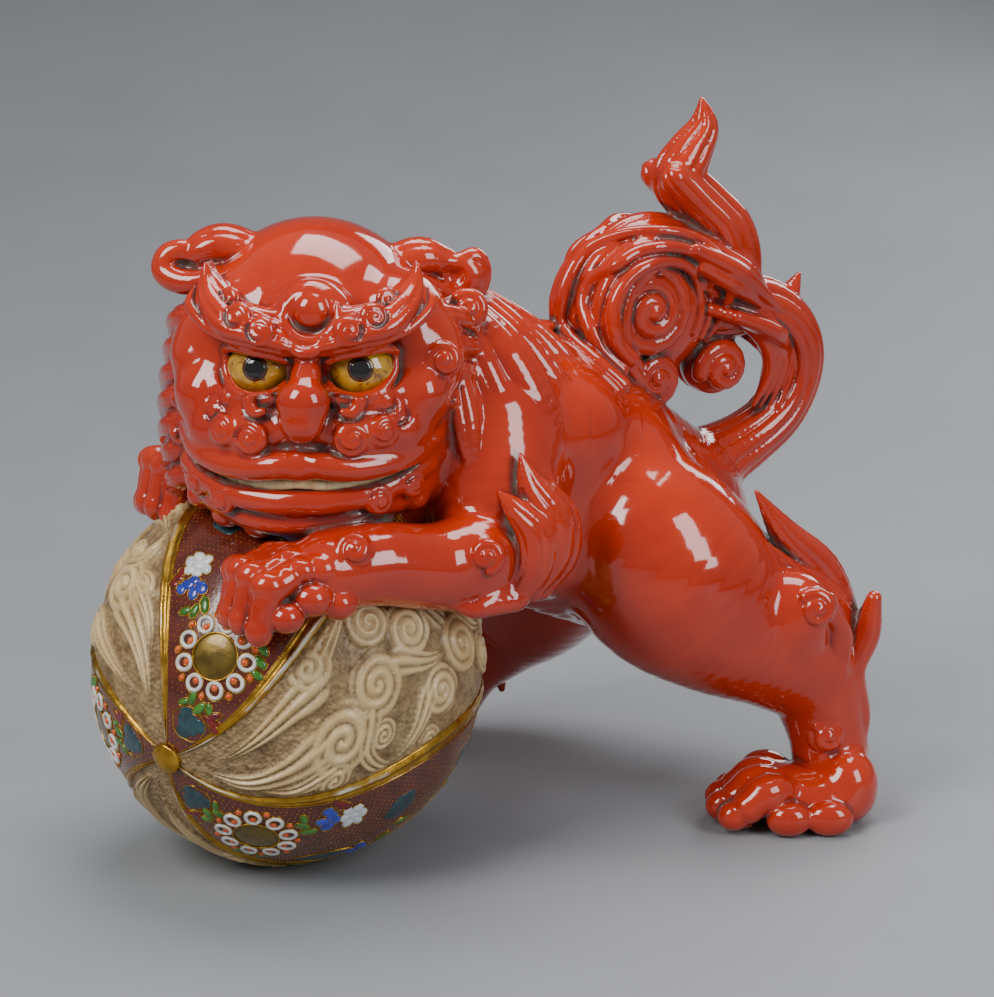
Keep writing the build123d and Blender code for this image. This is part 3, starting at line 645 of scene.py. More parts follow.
# forehead jewel in its crescent
eggs("head_shell", ((1.2, -37, 27, 11, 6, 11, 7),))
clay.cut(Egg(face(1.2, -47.5, 29), (9.6, 5.5, 10.0)), 1.5)
eggs("forehead_jewel", ((1.2, -40, 28.5, 7.6, 6.6, 7.6, 0.5),))
lock("head_shell", ((-8.2, -42.5, 31.5, 0.8), (-7.6, -44.6, 25.5, 1.6), (-3.6, -46.6, 20.8, 2.1),
                    (1.2, -47.4, 19.4, 2.3), (6, -46.6, 20.8, 2.1), (10, -44.6, 25.5, 1.6),
                    (10.6, -42.5, 31.5, 0.8)), 0.7)
for sign in (-1, 1):
    clay.cut(through(((1.2 + sign * 12.5, -46.5, 33, 1.6), (1.2 + sign * 16, -41, 41, 2.6),
                      (1.2 + sign * 19, -33, 47.5, 1.6))), 3.5)

# whiskers curling under the cheeks, and the knobs of the beard
for sign in (-1, 1):
    for right, up, size, turn in ((14.4, -13.8, 6.2, 0), (25.4, -11.6, 5.6, 30), (33.0, -6.0, 4.8, 60),
                                  (27.5, -1.6, 4.0, 90)):
        button(sided("whisker_curls", sign), face(sign * right, -44, up),
               face_way(sign * right * 0.024, -1, 0.1), size, 90 + sign * turn, sign, 0.8)
for right, back, up, size in ((25.5, -42.0, -36.5, 5.4), (35, -32.0, -33.0, 4.8)):
    for sign in (-1, 1):
        button("beard_curls", face(sign * right, back, up), face_way(sign * right * 0.025, -1, -0.1), size,
               90 - 30 * sign, -sign, 0.6)
eggs("beard_curls", [(right, back, up, size * 1.1, size, size * 0.8, 1.2) for right, back, up, size in (
    (-14, -39.5, -47.5, 5.2), (14, -39.5, -47.5, 5.2), (0, -41.5, -48.5, 5.6), (-26, -32.5, -45.5, 5.4),
    (26, -32.5, -45.5, 5.4), (-36, -23, -41, 6), (36, -23, -41, 6))])

# cheek manes: rows of locks and rolled curls round the sides of the face
for sign in (-1, 1):
    name = sided("cheek_mane", sign)
    eggs(name, [(right, back, up, size * 0.8, size * 1.15, size, 3) for right, back, up, size in (
        (45, 10, 14, 11), (47, 8, -3, 12), (45, 4, -20, 12), (39, -2, -34, 10))], sign)
    for i in range(7):
        right = 43.5 + 4.5 * math.sin(math.radians(25 + 24 * i))
        up = 20 - 9.5 * i
        lock(name, ((right - 4, -19 + 0.8 * i, up + 4, 3.6), (right + 1.5, -12, up + 0.5, 5.4),
                    (right + 4.5, -2, up - 4, 6), (right + 5.5, 7, up - 10, 5),
                    (right + 3.5, 14, up - 17, 1)), 0.8, sign, flat=0.9, strands=6, groove=0.8, twist=0.1)
    for right, back, up, size, turn in ((43.5, -24.5, 6.5, 6.6, 30), (46.5, -19.5, -6.5, 5.8, 60),
                                        (46.5, -17.5, -19.5, 5.8, 80), (41.5, -19.5, -31.0, 6.0, 110)):
        curl(name, face(sign * right, back, up), face_way(sign * 0.9, -1, 0.0), size, 1.5, 90 + sign * turn,
             sign, lift=0.62)

# ears: a rolled one drooping forward to the viewer's left, a broad folded one to the right
EAR_SIDE = (0, 1, 0)
lock("ear_right", ((-13, 2, 34, 6), (-22, -1, 39, 7.6), (-31, -3.5, 42, 8), (-38, -5.5, 41, 6.6),
                   (-43, -7, 37.5, 4)), 1.6, at=head, side=EAR_SIDE, flat=1.1, strands=4, groove=0.6)
eggs("ear_right", ((-41, -7, 34.5, 11.5, 4.2, 6.5, 1.5),), at=head, axes=CROWN_AXES.T)
clay.cut(Egg(head(-44.5, -11.5, 35.0), (4.6, 3.4, 2.6), CROWN_AXES.T), 1.2)
lock("ear_right", ((-40, -7, 39.5, 2.4), (-45.5, -7.5, 40.5, 3.6), (-50.5, -7.5, 38, 4.4),
                   (-51.5, -8.5, 33, 4.7), (-46.5, -10.8, 30.2, 4.7), (-39, -12.5, 30.5, 4.2),
                   (-31.5, -11.5, 33.5, 3.6), (-25, -8.5, 35.5, 2.4)), 0.8, at=head)
lock("ear_left", ((18, 4, 32, 6), (27, 7, 36.5, 7.4), (36, 9.5, 39.5, 7.8), (44, 12, 38.5, 5.6)), 1.6,
     at=head, side=EAR_SIDE, strands=4, groove=0.6)
eggs("ear_left", ((48, 12, 33.5, 11, 4.2, 8, 1.5),), at=head, axes=CROWN_AXES.T)
clay.cut(Egg(head(49, 6.5, 34.5), (4.2, 4.0, 4.6), CROWN_AXES.T), 1.4)
lock("ear_left", ((43, 9.5, 39.5, 3), (49, 11.5, 38.5, 3.2), (55, 14.5, 40.5, 3.4), (57.5, 16, 36, 3.8),
                  (56.5, 15.5, 29.5, 4), (52, 12.5, 25.8, 4.2), (45, 8, 27.5, 4.2), (38, 4.5, 31.5, 4),
                  (31, 1.5, 33.5, 2.6)), 0.8, at=head)
lock("ear_left", ((30, 0.5, 27, 3.6), (38, 1.5, 24, 3.8), (44, 5, 18.5, 1.2)), 1, at=head)

# mane falling behind the ears on to the neck
FALLS = (((52, 16, 206), (59, 29, 196), (67, 41, 184), (75, 49, 168), (83, 53, 152), (8, 10, 11, 9, 1.2)),
         ((48, 24, 203), (54, 37, 191), (59, 46, 177), (63, 51, 162), (66, 53, 148), (6, 8, 8, 6, 1.0)),
         ((58, 10, 207), (69, 22, 197), (80, 32, 185), (89, 39, 172), (96, 43, 161), (6, 8, 8, 6, 1.0)),
         ((42, 30, 198), (45, 42, 184), (46, 50, 170), (47, 54, 156), (49, 55, 144), (6, 7, 7, 5, 1.0)),
         ((64, 2, 204), (77, 10, 196), (89, 20, 187), (100, 26, 177), (109, 30, 168), (5, 7, 7, 5, 1.0)))
for sign in (1, -1):
    name = sided("mane_lock", sign)
    for fall in FALLS:
        clay.press(name, Lock([body(b, sign * l, u) for b, l, u in fall[:-1]], fall[-1],
                              side=LEFT, flat=0.75, strands=6, groove=1.0, twist=0.12), 0.9)
    for back, up, size, start in ((54, 203, 8.0, 40), (42, 186, 7.5, 100)):
        way = LEFT * sign - BACK * 0.4 + UP * 0.25
        curl(name, clay.seat(body(back, sign * 38, up), way, sink=1.0), way, size, start=start, spin=-sign)


# ------------------------------------------------------------------ meshes from the clay
def mesh_object(name, points, faces):
    """A smooth-shaded object from points in metres."""
    mesh = bpy.data.meshes.new(name)
    mesh.from_pydata(points, [], faces) if isinstance(faces, list) else fill_mesh(mesh, points, faces)
    mesh.validate()
    mesh.update()
    mesh.polygons.foreach_set("use_smooth", np.ones(len(mesh.polygons), bool))
    thing = bpy.data.objects.new(name, mesh)
    bpy.context.scene.collection.objects.link(thing)
    return thing


def fill_mesh(mesh, points, faces):
    """Fill a mesh from an array of points and an array of faces with the same number of corners."""
    points = np.asarray(points, np.float32)
    faces = np.asarray(faces, np.int32)
    corners = faces.shape[1]
    mesh.vertices.add(len(points))
    mesh.vertices.foreach_set("co", points.ravel())
    mesh.loops.add(faces.size)
    mesh.loops.foreach_set("vertex_index", faces.ravel())
    mesh.polygons.add(len(faces))
    mesh.polygons.foreach_set("loop_start", np.arange(0, faces.size, corners, dtype=np.int32))
    mesh.polygons.foreach_set("loop_total", np.full(len(faces), corners, np.int32))


def note_hollow(thing, values):
    """Note how hollow the form is at each point, which the finishes darken by."""
    layer = thing.data.attributes.new("hollow", "FLOAT", "POINT")
    layer.data.foreach_set("value", np.asarray(values, np.float32))


def clay_piece(name):
    """The mesh of one piece, cut out of the clay."""
    window, field = clay.piece_field(name)
    field = np.minimum(np.maximum(field, -3 * STEP), 3 * STEP)
    edge = np.full([n + 2 for n in field.shape], 3 * STEP, np.float32)
    edge[1:-1, 1:-1, 1:-1] = field
    grid = openvdb.FloatGrid(3 * STEP)
    grid.copyFromArray(edge)
    points, quads = grid.convertToPolygons(0.0, 0.0)[::2]           # it makes no triangles here
    points = points + np.array([s.start for s in window]) - 1
    faces = quads.astype(np.int64)
    a, b, c = points[faces[:, 0]], points[faces[:, 1]], points[faces[:, 2]]
    if (a * np.cross(b, c)).sum() < 0:
        faces = faces[:, ::-1]
    # relax the grid's stair steps along the surface, without losing the form
    neighbours = np.vstack([faces[:, [0, 1]], faces[:, [1, 2]], faces[:, [2, 3]], faces[:, [3, 0]]])
    count = np.bincount(neighbours.ravel(), minlength=len(points)).astype(float)[:, None]
    for weight in (0.5, -0.3, 0.5, -0.3):
        total = np.zeros_like(points)
        for axis in range(3):
            total[:, axis] = (np.bincount(neighbours[:, 0], points[neighbours[:, 1], axis], len(points))
                              + np.bincount(neighbours[:, 1], points[neighbours[:, 0], axis], len(points)))
        points = points + weight * (total / count - points)
    place = (points * clay.step + clay.low) * MM
    place[:, 2] = np.maximum(place[:, 2], 0.0)
    thing = mesh_object(name, place, faces)
    normals = np.empty(len(points) * 3, np.float32)
    thing.data.vertex_normals.foreach_get("vector", normals)
    normals = normals.reshape(-1, 3)
    hollow = 0
    for reach, share in ((1.6, 0.4), (3.6, 0.6)):
        away = clay.sample(clay.whole, points + normals * (reach / clay.step))
        hollow = hollow + share * np.clip(1 - away / reach, 0, 1)
    note_hollow(thing, hollow)
    return thing


lion = {name: clay_piece(name) for name in clay.names[1:]}
for name, thing in lion.items():
    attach(thing, "root")
    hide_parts(name)
print("clay pieces", {name: len(thing.data.polygons) for name, thing in lion.items()})


# ------------------------------------------------------------------ ball, from its pole
POLE = unit((-0.542, -0.816, -0.202))
RISE = unit(UP - (UP @ POLE) * POLE)
SWING = np.cross(POLE, RISE)
SWIRL = 24.0                            # degrees that the gores swing forward at the equator
GORE = 60.0                             # degrees of azimuth in a gore
FIRST_BROWN = -35.0                     # azimuth of the first brocade gore
BAND = 2.4                              # half a gilt band, in degrees of azimuth
BOSS = 4.2                              # clear round the pole for a boss


def on_sphere(polar, azimuth, radius, swirled=True):
    """Places on a sphere about the ball's centre; angles in degrees, arrays or numbers."""
    polar = np.radians(np.asarray(polar, float))
    turn = np.asarray(azimuth, float) + (SWIRL * np.abs(np.sin(polar)) ** 1.5 if swirled else 0)
    turn = np.radians(turn)
    ring = (np.cos(turn)[..., None] * RISE + np.sin(turn)[..., None] * SWING) * np.sin(polar)[..., None]
    return BALL + (ring + np.cos(polar)[..., None] * POLE) * np.asarray(radius)[..., None]


def patch_frame(polar, azimuth):
    """Outward, right and away-from-pole directions at a place on the ball."""
    turn = math.radians(azimuth + SWIRL * abs(math.sin(math.radians(polar))) ** 1.5)
    polar = math.radians(polar)
    ring = math.cos(turn) * RISE + math.sin(turn) * SWING
    outward = math.sin(polar) * ring + math.cos(polar) * POLE
    away = math.cos(polar) * ring - math.sin(polar) * POLE
    right = -math.sin(turn) * RISE + math.cos(turn) * SWING
    return outward, right, away


def on_patch(place, right, away, height):
    """A place on the ball near a patch's middle, shifted right and away in millimetres."""
    outward, rightward, awayward = place
    way = (outward * SHELL_RADIUS + np.asarray(right)[..., None] * rightward
           + np.asarray(away)[..., None] * awayward)
    way = way / np.linalg.norm(way, axis=-1)[..., None]
    return BALL + way * (SHELL_RADIUS + np.asarray(height))[..., None]


def grid_faces(rows, columns, wrap=False):
    """Four-cornered faces between rows of points, joined round to the first column by wrap."""
    r, c = np.meshgrid(np.arange(rows - 1), np.arange(columns if wrap else columns - 1), indexing="ij")
    a = r * columns + c
    b = r * columns + (c + 1) % columns
    return np.stack([a, b, b + columns, a + columns], -1).reshape(-1, 4)


class Batch:
    """Points, faces and per-point notes gathered for one mesh."""

    def __init__(self):
        self.points, self.faces, self.notes, self.count = [], [], [], 0

    def add(self, points, faces, notes=None):
        points = np.asarray(points, float).reshape(-1, 3)
        self.points.append(points)
        self.notes.append(np.zeros(len(points)) if notes is None else np.asarray(notes).ravel())
        self.faces.append(np.asarray(faces) + self.count)
        self.count += len(points)

    def tube(self, rings, notes=None):
        """A tube through rings of points, with a flat cap on each end."""
        count, around = rings.shape[:2]
        start = self.count
        self.add(rings, grid_faces(count, around, wrap=True), notes)
        self.faces.append(np.arange(around - 1, -1, -1)[None] + start)
        self.faces.append(np.arange((count - 1) * around, count * around)[None] + start)

    def build(self, name):
        points = np.vstack(self.points)
        points[:, 2] = np.maximum(points[:, 2], 0.0)
        faces = []
        for block in self.faces:
            faces.extend(block.tolist())
        thing = mesh_object(name, (points * MM).tolist(), faces)
        shape = bmesh.new()
        shape.from_mesh(thing.data)
        bmesh.ops.recalc_face_normals(shape, faces=shape.faces)
        shape.to_mesh(thing.data)
        shape.free()
        note_hollow(thing, np.concatenate(self.notes))
        return thing


def slab(batch, top, bottom, notes):
    """A closed sheet between two grids of points that share their edges' order."""
    rows, columns = top.shape[:2]
    count = rows * columns
    faces = grid_faces(rows, columns)
    rim = np.concatenate([np.arange(columns), np.arange(1, rows) * columns + columns - 1,
                          (rows - 1) * columns + np.arange(columns - 2, -1, -1),
                          np.arange(rows - 2, 0, -1) * columns])
    after = np.roll(rim, -1)
    sides = np.stack([rim, rim + count, after + count, after], -1)
    # wind every face so that it looks outward from the ball
    batch.add(np.vstack([top.reshape(-1, 3), bottom.reshape(-1, 3)]),
              np.vstack([faces[:, ::-1], faces + count, sides[:, ::-1]]),
              np.concatenate([notes.ravel(), notes.ravel()]))


def ramp(value, low, high):
    """A smooth step from 0 at low to 1 at high."""
    value = np.clip((value - low) / (high - low), 0, 1)
    return value * value * (3 - 2 * value)


# each scroll: away from the pole and across the gore in millimetres, size, start of its spiral in
# degrees and the way it winds
SCROLL_CLOUDS = ((64, -8, 12.8, 200, 1), (82, 1, 11.0, 40, -1), (63, 21, 9.2, 120, 1),
                 (90, 20, 8.4, 300, -1), (60, -21, 6.6, 30, 1), (79, -16, 5.5, 60, 1),
                 (103, 9, 9.6, 160, 1), (107, -17, 9.4, 220, -1), (121, 21, 9.0, 10, 1),
                 (126, -7, 11.6, 250, -1), (143, 11, 10.2, 100, 1), (146, -15, 9.0, 320, -1),
                 (163, 0, 10.8, 200, 1), (178, 9, 6.6, 60, -1), (181, -7, 6.2, 150, 1),
                 (97, 31, 5.6, 80, 1), (76, 29, 5.0, 200, -1), (98, -31, 5.4, 20, 1))
# each flowing tail: its curve (away, across) from root to tip, and half its width at the root
SCROLL_TAILS = ((((54, -6), (44, -8), (32, -8), (19, -4)), 8.5),
                (((60, 14), (50, 12), (38, 8), (25, 3)), 7.5),
                (((58, -16), (46, -17), (34, -12)), 4.5), (((76, -8), (72, -18), (78, -28), (90, -34)), 5.0),
                (((70, 22), (80, 27), (92, 34)), 4.5), (((94, 2), (104, -4), (114, -6)), 6.0),
                (((100, -16), (92, -24), (80, -30)), 5.5), (((132, 6), (140, -2), (152, -4)), 6.0),
                (((128, 20), (138, 26), (150, 22)), 5.0), (((196, 2), (188, 6), (176, 4)), 5.5),
                (((204, 0), (194, -4), (184, -12)), 4.5), (((118, 6), (112, 16), (106, 26)), 5.0))


def carved_height(away, across, seed):
    """Height, from 0 to 1, of the clouds and waves carved in a cream panel."""
    height = np.zeros_like(away)
    shift = 3.0 * math.sin(2.3 * (seed - 2))
    for along, side, size, start, wind in SCROLL_CLOUDS:
        dx, dy = away - along - shift, across - side * (0.88 + 0.06 * seed)
        reach = np.hypot(dx, dy)
        near = reach < size * 1.35
        angle = np.arctan2(dy, dx) * wind
        lobed = size * (1 + 0.10 * np.abs(np.cos(2.5 * (angle + start))))
        pitch = size / 2.6
        phase = reach / pitch - (angle + math.radians(start)) / (2 * math.pi)
        ridge = 0.5 + 0.5 * np.cos(2 * math.pi * phase)
        dome = np.clip(1 - (reach / lobed) ** 2, 0, 1) ** 0.4
        form = dome * (0.30 + 0.70 * ridge ** 0.6)
        height = np.where(near, np.maximum(height, form), height)
    for curve, width in SCROLL_TAILS:
        path, sizes = smooth_path([(a + shift, c, 0) for a, c in curve],
                                  np.linspace(width, 1.0, len(curve)), 8)
        best = np.full(away.shape, 99.0)
        side = np.zeros_like(away)
        room = np.full(away.shape, 1.0)
        for p, q, w in zip(path[:-1], path[1:], sizes[:-1]):
            run = q[:2] - p[:2]
            length = math.hypot(*run)
            dx, dy = away - p[0], across - p[1]
            t = np.clip((dx * run[0] + dy * run[1]) / length ** 2, 0, 1)
            off = np.hypot(dx - t * run[0], dy - t * run[1])
            nearer = off < best
            best = np.where(nearer, off, best)
            side = np.where(nearer, (dx * run[1] - dy * run[0]) / length, side)
            room = np.where(nearer, w, room)
        share = np.clip(best / room, 0, 1)
        strands = 0.5 + 0.5 * np.cos(side / room * math.pi * 3)
        form = (1 - share ** 2) ** 0.5 * (0.22 + 0.70 * strands ** 0.7) * np.clip(room / 3, 0, 1)
        height = np.maximum(height, form)
    return height


FINE = 0.55      # spacing of the carved panels' points
SPAN = math.pi * SHELL_RADIUS           # from pole to pole over the ball
FIRST_POLAR = math.degrees(1.2 * BOSS / SHELL_RADIUS)


PANEL = GORE - 2 * BAND                 # degrees of azimuth between two bands
INSET = 0.8                             # how far the sheets reach into the shell
BROCADE = 0.7                           # how far the brocade stands out of the shell


def sphere_grid(rows, columns, half):
    """Polar angles from end to end, and shares from -half to half across."""
    return np.meshgrid(np.linspace(FIRST_POLAR, 180 - FIRST_POLAR, rows), np.linspace(-half, half, columns),
                       indexing="ij")


def gore_grid(middle, spacing):
    """Polar angles, azimuths and shares across one panel."""
    columns = int(math.radians(PANEL) * SHELL_RADIUS / spacing)
    polar, share = sphere_grid(int(SPAN / spacing), columns, 0.5)
    return polar, middle + share * PANEL, share


def sheet(batch, polar, azimuth, height, notes):
    """A closed sheet on the ball, from a little inside the shell to a height above it."""
    slab(batch, on_sphere(polar, azimuth, SHELL_RADIUS + height + 0.0 * polar),
         on_sphere(polar, azimuth, np.full(polar.shape, SHELL_RADIUS - INSET)), notes)


relief, brocade, bands = Batch(), Batch(), Batch()
for index in range(3):
    middle = FIRST_BROWN + 120 * index
    polar, azimuth, share = gore_grid(middle + GORE, FINE)
    away = np.radians(polar) * SHELL_RADIUS
    breadth = math.radians(PANEL) * np.sin(np.radians(polar)) * SHELL_RADIUS
    across = share * breadth
    edge = (0.5 - np.abs(share)) * breadth
    carved = carved_height(away, across, index) * ramp(edge, 0.5, 3.5)
    grain = np.sin(away * 2.9 + 1.7 * np.sin(across * 1.3)) * np.sin(across * 3.1 + 1.9 * np.sin(away * 1.1))
    height = 0.15 + 2.35 * carved + 0.14 * grain * (1 - ramp(carved, 0.02, 0.2))
    sheet(relief, polar, azimuth, height * ramp(edge, -0.4, 0.8) + 0.1, 1 - carved)
    polar, azimuth, share = gore_grid(middle, 1.4)
    sheet(brocade, polar, azimuth, BROCADE, np.zeros(polar.shape))
for index in range(6):
    middle = FIRST_BROWN + GORE * (index + 0.5)
    polar, share = sphere_grid(int(SPAN), 15, 1.0)
    toward = share * (1 if index % 2 == 0 else -1)      # across the band, towards the cream panel
    # a raised rounded border against the cream panel and a flat gold line against the brocade
    profile = (0.55 + 1.0 * np.exp(-((toward - 0.35) / 0.42) ** 2)
               + 0.30 * np.exp(-((toward + 0.75) / 0.16) ** 2))
    narrow = ramp(np.sin(np.radians(polar)), 0.0, 0.5)
    profile = profile * (0.55 + 0.45 * narrow) + 0.08 * np.sin(polar * 0.9) * narrow
    white = ramp(toward, 0.0, 0.3) * (1 - ramp(toward, 0.62, 0.8))
    sheet(bands, polar, middle + share * (BAND + 0.3), profile, white)


def round_points(count):
    """Cosines and sines of evenly spaced angles."""
    angles = np.linspace(0, 2 * math.pi, count, endpoint=False)
    return np.cos(angles), np.sin(angles)


def lean(x, y, right, away, turn):
    """Turn shifts by an angle in degrees, then move them."""
    turn = math.radians(turn)
    return right + x * math.cos(turn) - y * math.sin(turn), away + x * math.sin(turn) + y * math.cos(turn)


def dome(batch, place, right, away, width, depth, height, base=BROCADE, turn=0.0, rings=5, around=20,
         wobble=0.0, lobes=0):
    """A low rounded drop of enamel on the ball."""
    angles = np.linspace(0, 2 * math.pi, around, endpoint=False)
    lobing = 1 + wobble * np.cos(lobes * angles)
    steps = np.linspace(math.pi / 2, 0, rings + 1)[:-1]
    points = []
    for reach, lift in [(1.0, -0.5)] + [(math.sin(t), height * math.cos(t)) for t in steps]:
        x, y = lean(width * reach * np.cos(angles) * lobing, depth * reach * np.sin(angles) * lobing,
                    right, away, turn)
        points.append(on_patch(place, x, y, np.full(around, base + lift)))
    tips = on_patch(place, np.full(2, right), np.full(2, away), np.array([base + height, base - 0.5]))
    count = len(points) * around
    start = batch.count
    batch.add(np.vstack(points + [tips]), grid_faces(len(points), around, wrap=True))
    first = np.arange(around)
    after = (first + 1) % around
    last = count - around
    batch.faces.append(np.stack([last + first, last + after, np.full(around, count)], -1) + start)
    batch.faces.append(np.stack([after, first, np.full(around, count + 1)], -1) + start)


def round_line(centre, along, radius, around):
    """Rings of points round a line that lies on the ball."""
    along = along / np.linalg.norm(along, axis=1)[:, None]
    outward = centre - BALL
    outward /= np.linalg.norm(outward, axis=1)[:, None]
    beside = np.cross(outward, along)
    cosine, sine = round_points(around)
    return centre[:, None] + radius * (cosine[:, None] * beside[:, None] + sine[:, None] * outward[:, None])


def cord(batch, place, path, radius, base, around=6):
    """A raised closed cord of enamel or gold through (right, away) shifts on the ball."""
    right, away = path
    centre = on_patch(place, right, away, np.full(len(right), base))
    rings = round_line(centre, np.roll(centre, -1, 0) - np.roll(centre, 1, 0), radius, around)
    count = len(right) * around
    batch.add(rings, grid_faces(len(right) + 1, around, wrap=True) % count)


def ring_path(right, away, width, depth, turn=0.0, count=24, lobes=0, wobble=0.0):
    """Shifts round an oval, which may be lobed."""
    angles = np.linspace(0, 2 * math.pi, count, endpoint=False)
    reach = 1 + wobble * np.abs(np.cos(lobes * angles / 2)) if lobes else 1.0
    return lean(width * np.cos(angles) * reach, depth * np.sin(angles) * reach, right, away, turn)


def drop(batch, place, x, y, long, wide, high, gap, line, turn=0.0, rise=0.1, around=18):
    """A drop of enamel in a thin gold outline."""
    dome(batch, place, x, y, long, wide, high, turn=turn, around=around)
    cord(gold, place, ring_path(x, y, long + gap, wide + gap, turn), line, BROCADE + rise)


petals, dots, gold, medallions, blue, white, leaves, teal, crimson = (Batch() for i in range(9))
LEAVES = ((46.6, 10, 3.2, 1.6, 60), (44.0, 14, 2.8, 1.4, 100), (43.2, 18.5, 2.4, 1.3, 150),
          (45.4, -20, 2.7, 1.4, 10), (42.4, -22, 2.7, 1.4, 0), (39.4, -24, 2.5, 1.3, -12),
          (21.8, 3, 2.6, 1.3, 80), (20.6, -6, 3.0, 1.5, 105), (22.4, -13, 2.2, 1.2, 40),
          (19.4, 9, 2.2, 1.1, 140), (76.0, -6, 3.4, 1.5, 30), (78.5, 2, 3.0, 1.4, 80))
BLUE_LOBES = ((-3.6, 0.6, 2.8, 2.2, 30), (-1.4, -2.0, 2.6, 2.0, 80), (2.2, 0.4, 2.9, 2.1, -20),
              (4.2, -1.6, 2.2, 1.9, 40), (0.4, 2.4, 2.3, 1.8, 0))
WHITE_LOBES = ((-3.6, -0.8, 2.4, 1.9, 20), (-2.2, 2.4, 2.5, 1.9, -40), (1.4, 3.2, 2.5, 1.9, 10),
               (4.0, 0.8, 2.3, 1.9, 60), (2.6, -2.4, 2.4, 1.9, -20), (-0.8, -2.8, 2.3, 1.8, 0),
               (0.2, 0.3, 2.4, 2.0, 30))


def medallion(place, flip):
    """A gold disc ringed by nine white loops, with orange dots in and between them."""
    dome(medallions, place, 0, 0, 8.0, 8.0, 0.55, around=40, rings=6)
    cord(gold, place, ring_path(0, 0, 8.2, 8.2, count=48), 0.36, BROCADE + 0.25, around=8)
    for i in range(9):
        turn = math.radians(i * 40 + 12)
        x, y = 11.7 * math.sin(turn), 11.7 * math.cos(turn) * flip
        aim = math.degrees(math.atan2(y, x))
        cord(petals, place, ring_path(x, y, 2.75, 2.5, aim), 0.72, BROCADE + 0.25, around=8)
        cord(gold, place, ring_path(x * 1.02, y * 1.02, 3.6, 3.35, aim), 0.2, BROCADE + 0.1)
        dome(dots, place, x * 0.92, y * 0.92, 1.25, 1.2, 0.9, BROCADE + 0.1, around=12, rings=4)
        cord(gold, place, ring_path(x * 0.92, y * 0.92, 1.3, 1.25, count=14), 0.16, BROCADE + 0.15)
        turn += math.radians(20)
        x, y = 14.6 * math.sin(turn), 14.6 * math.cos(turn) * flip
        dome(dots, place, x, y, 1.15, 1.15, 0.8, BROCADE + 0.1, around=12, rings=4)
        cord(gold, place, ring_path(x, y, 1.35, 1.35, count=14), 0.18, BROCADE + 0.1)


def flower_spray(spot, flip):
    """The leaves, blossoms and teal patches about a medallion; spot finds a place in its gore."""
    for polar, shift, long, wide, turn in LEAVES:
        drop(leaves, spot(polar, shift), 0, 0, long, wide, 0.75, 0.25, 0.2, turn * flip)
    for polar, shift, batch, lobes in ((50.4, 17, blue, BLUE_LOBES), (57.2, 16.5, white, WHITE_LOBES),
                                       (69.5, -10, blue, BLUE_LOBES)):
        for x, y, long, wide, turn in lobes:
            drop(batch, spot(polar, shift), x, y * flip, long, wide, 0.8, 0.2, 0.19, turn * flip, 0.15)
    for x, y, long, wide in ((0, 0, 2.2, 1.6), (1.2, -2.4, 2.0, 1.4), (-0.8, 2.4, 2.0, 1.4)):
        drop(crimson, spot(52.5, 24), x, y, long, wide, 0.6, 0.2, 0.18, around=16)
    for x, y, long, wide in ((0, 0, 4.6, 4.2), (2.6, 2.8, 3.0, 2.6), (-3.4, 1.8, 3.0, 2.4),
                             (0.4, -3.8, 2.6, 2.6)):
        dome(teal, spot(14.5, -4), x, y * flip, long, wide, 0.42, wobble=0.05, lobes=5)
    cord(gold, spot(14.5, -4), ring_path(0, 0, 6.2, 5.8, lobes=5, wobble=0.08, count=40), 0.2, BROCADE + 0.1)
    for x, y, long, wide, turn in ((0, 0, 3.2, 1.4, 150), (-2.2, -1.0, 2.8, 1.2, 190),
                                   (0.8, 2.0, 2.8, 1.2, 120)):
        drop(crimson, spot(20.5, -20), x, y * flip, long, wide, 0.55, 0.2, 0.18, turn * flip, around=16)
    dome(teal, spot(63, -14), 0, 0, 12.5, 5.8, 0.42, turn=58 * flip, around=40, wobble=0.04, lobes=6)
    cord(gold, spot(63, -14), ring_path(0, 0, 12.8, 6.1, 58 * flip, 40), 0.22, BROCADE + 0.1)
    dome(teal, spot(74, 12), 0, 0, 7.5, 5.4, 0.42, turn=30 * flip, around=32, wobble=0.06, lobes=5)


for mirror in (False, True):
    for index in range(3):
        middle = FIRST_BROWN + 120 * index

        def spot(polar, shift):
            return patch_frame(180 - polar if mirror else polar, middle + shift)

        flip = -1 if mirror else 1
        medallion(spot(35.3, -1.5), flip)
        flower_spray(spot, flip)
        for side in (-1, 1):
            # fine gold lines just inside the brocade's edges
            polar = np.linspace(FIRST_POLAR + 1, 90, 120)
            if mirror:
                polar = 180 - polar
            line = on_sphere(polar, np.full(120, middle + side * (GORE / 2 - BAND - 0.5)),
                             np.full(120, SHELL_RADIUS + BROCADE))
            gold.tube(round_line(line, np.gradient(line, axis=0), 0.26, 6))

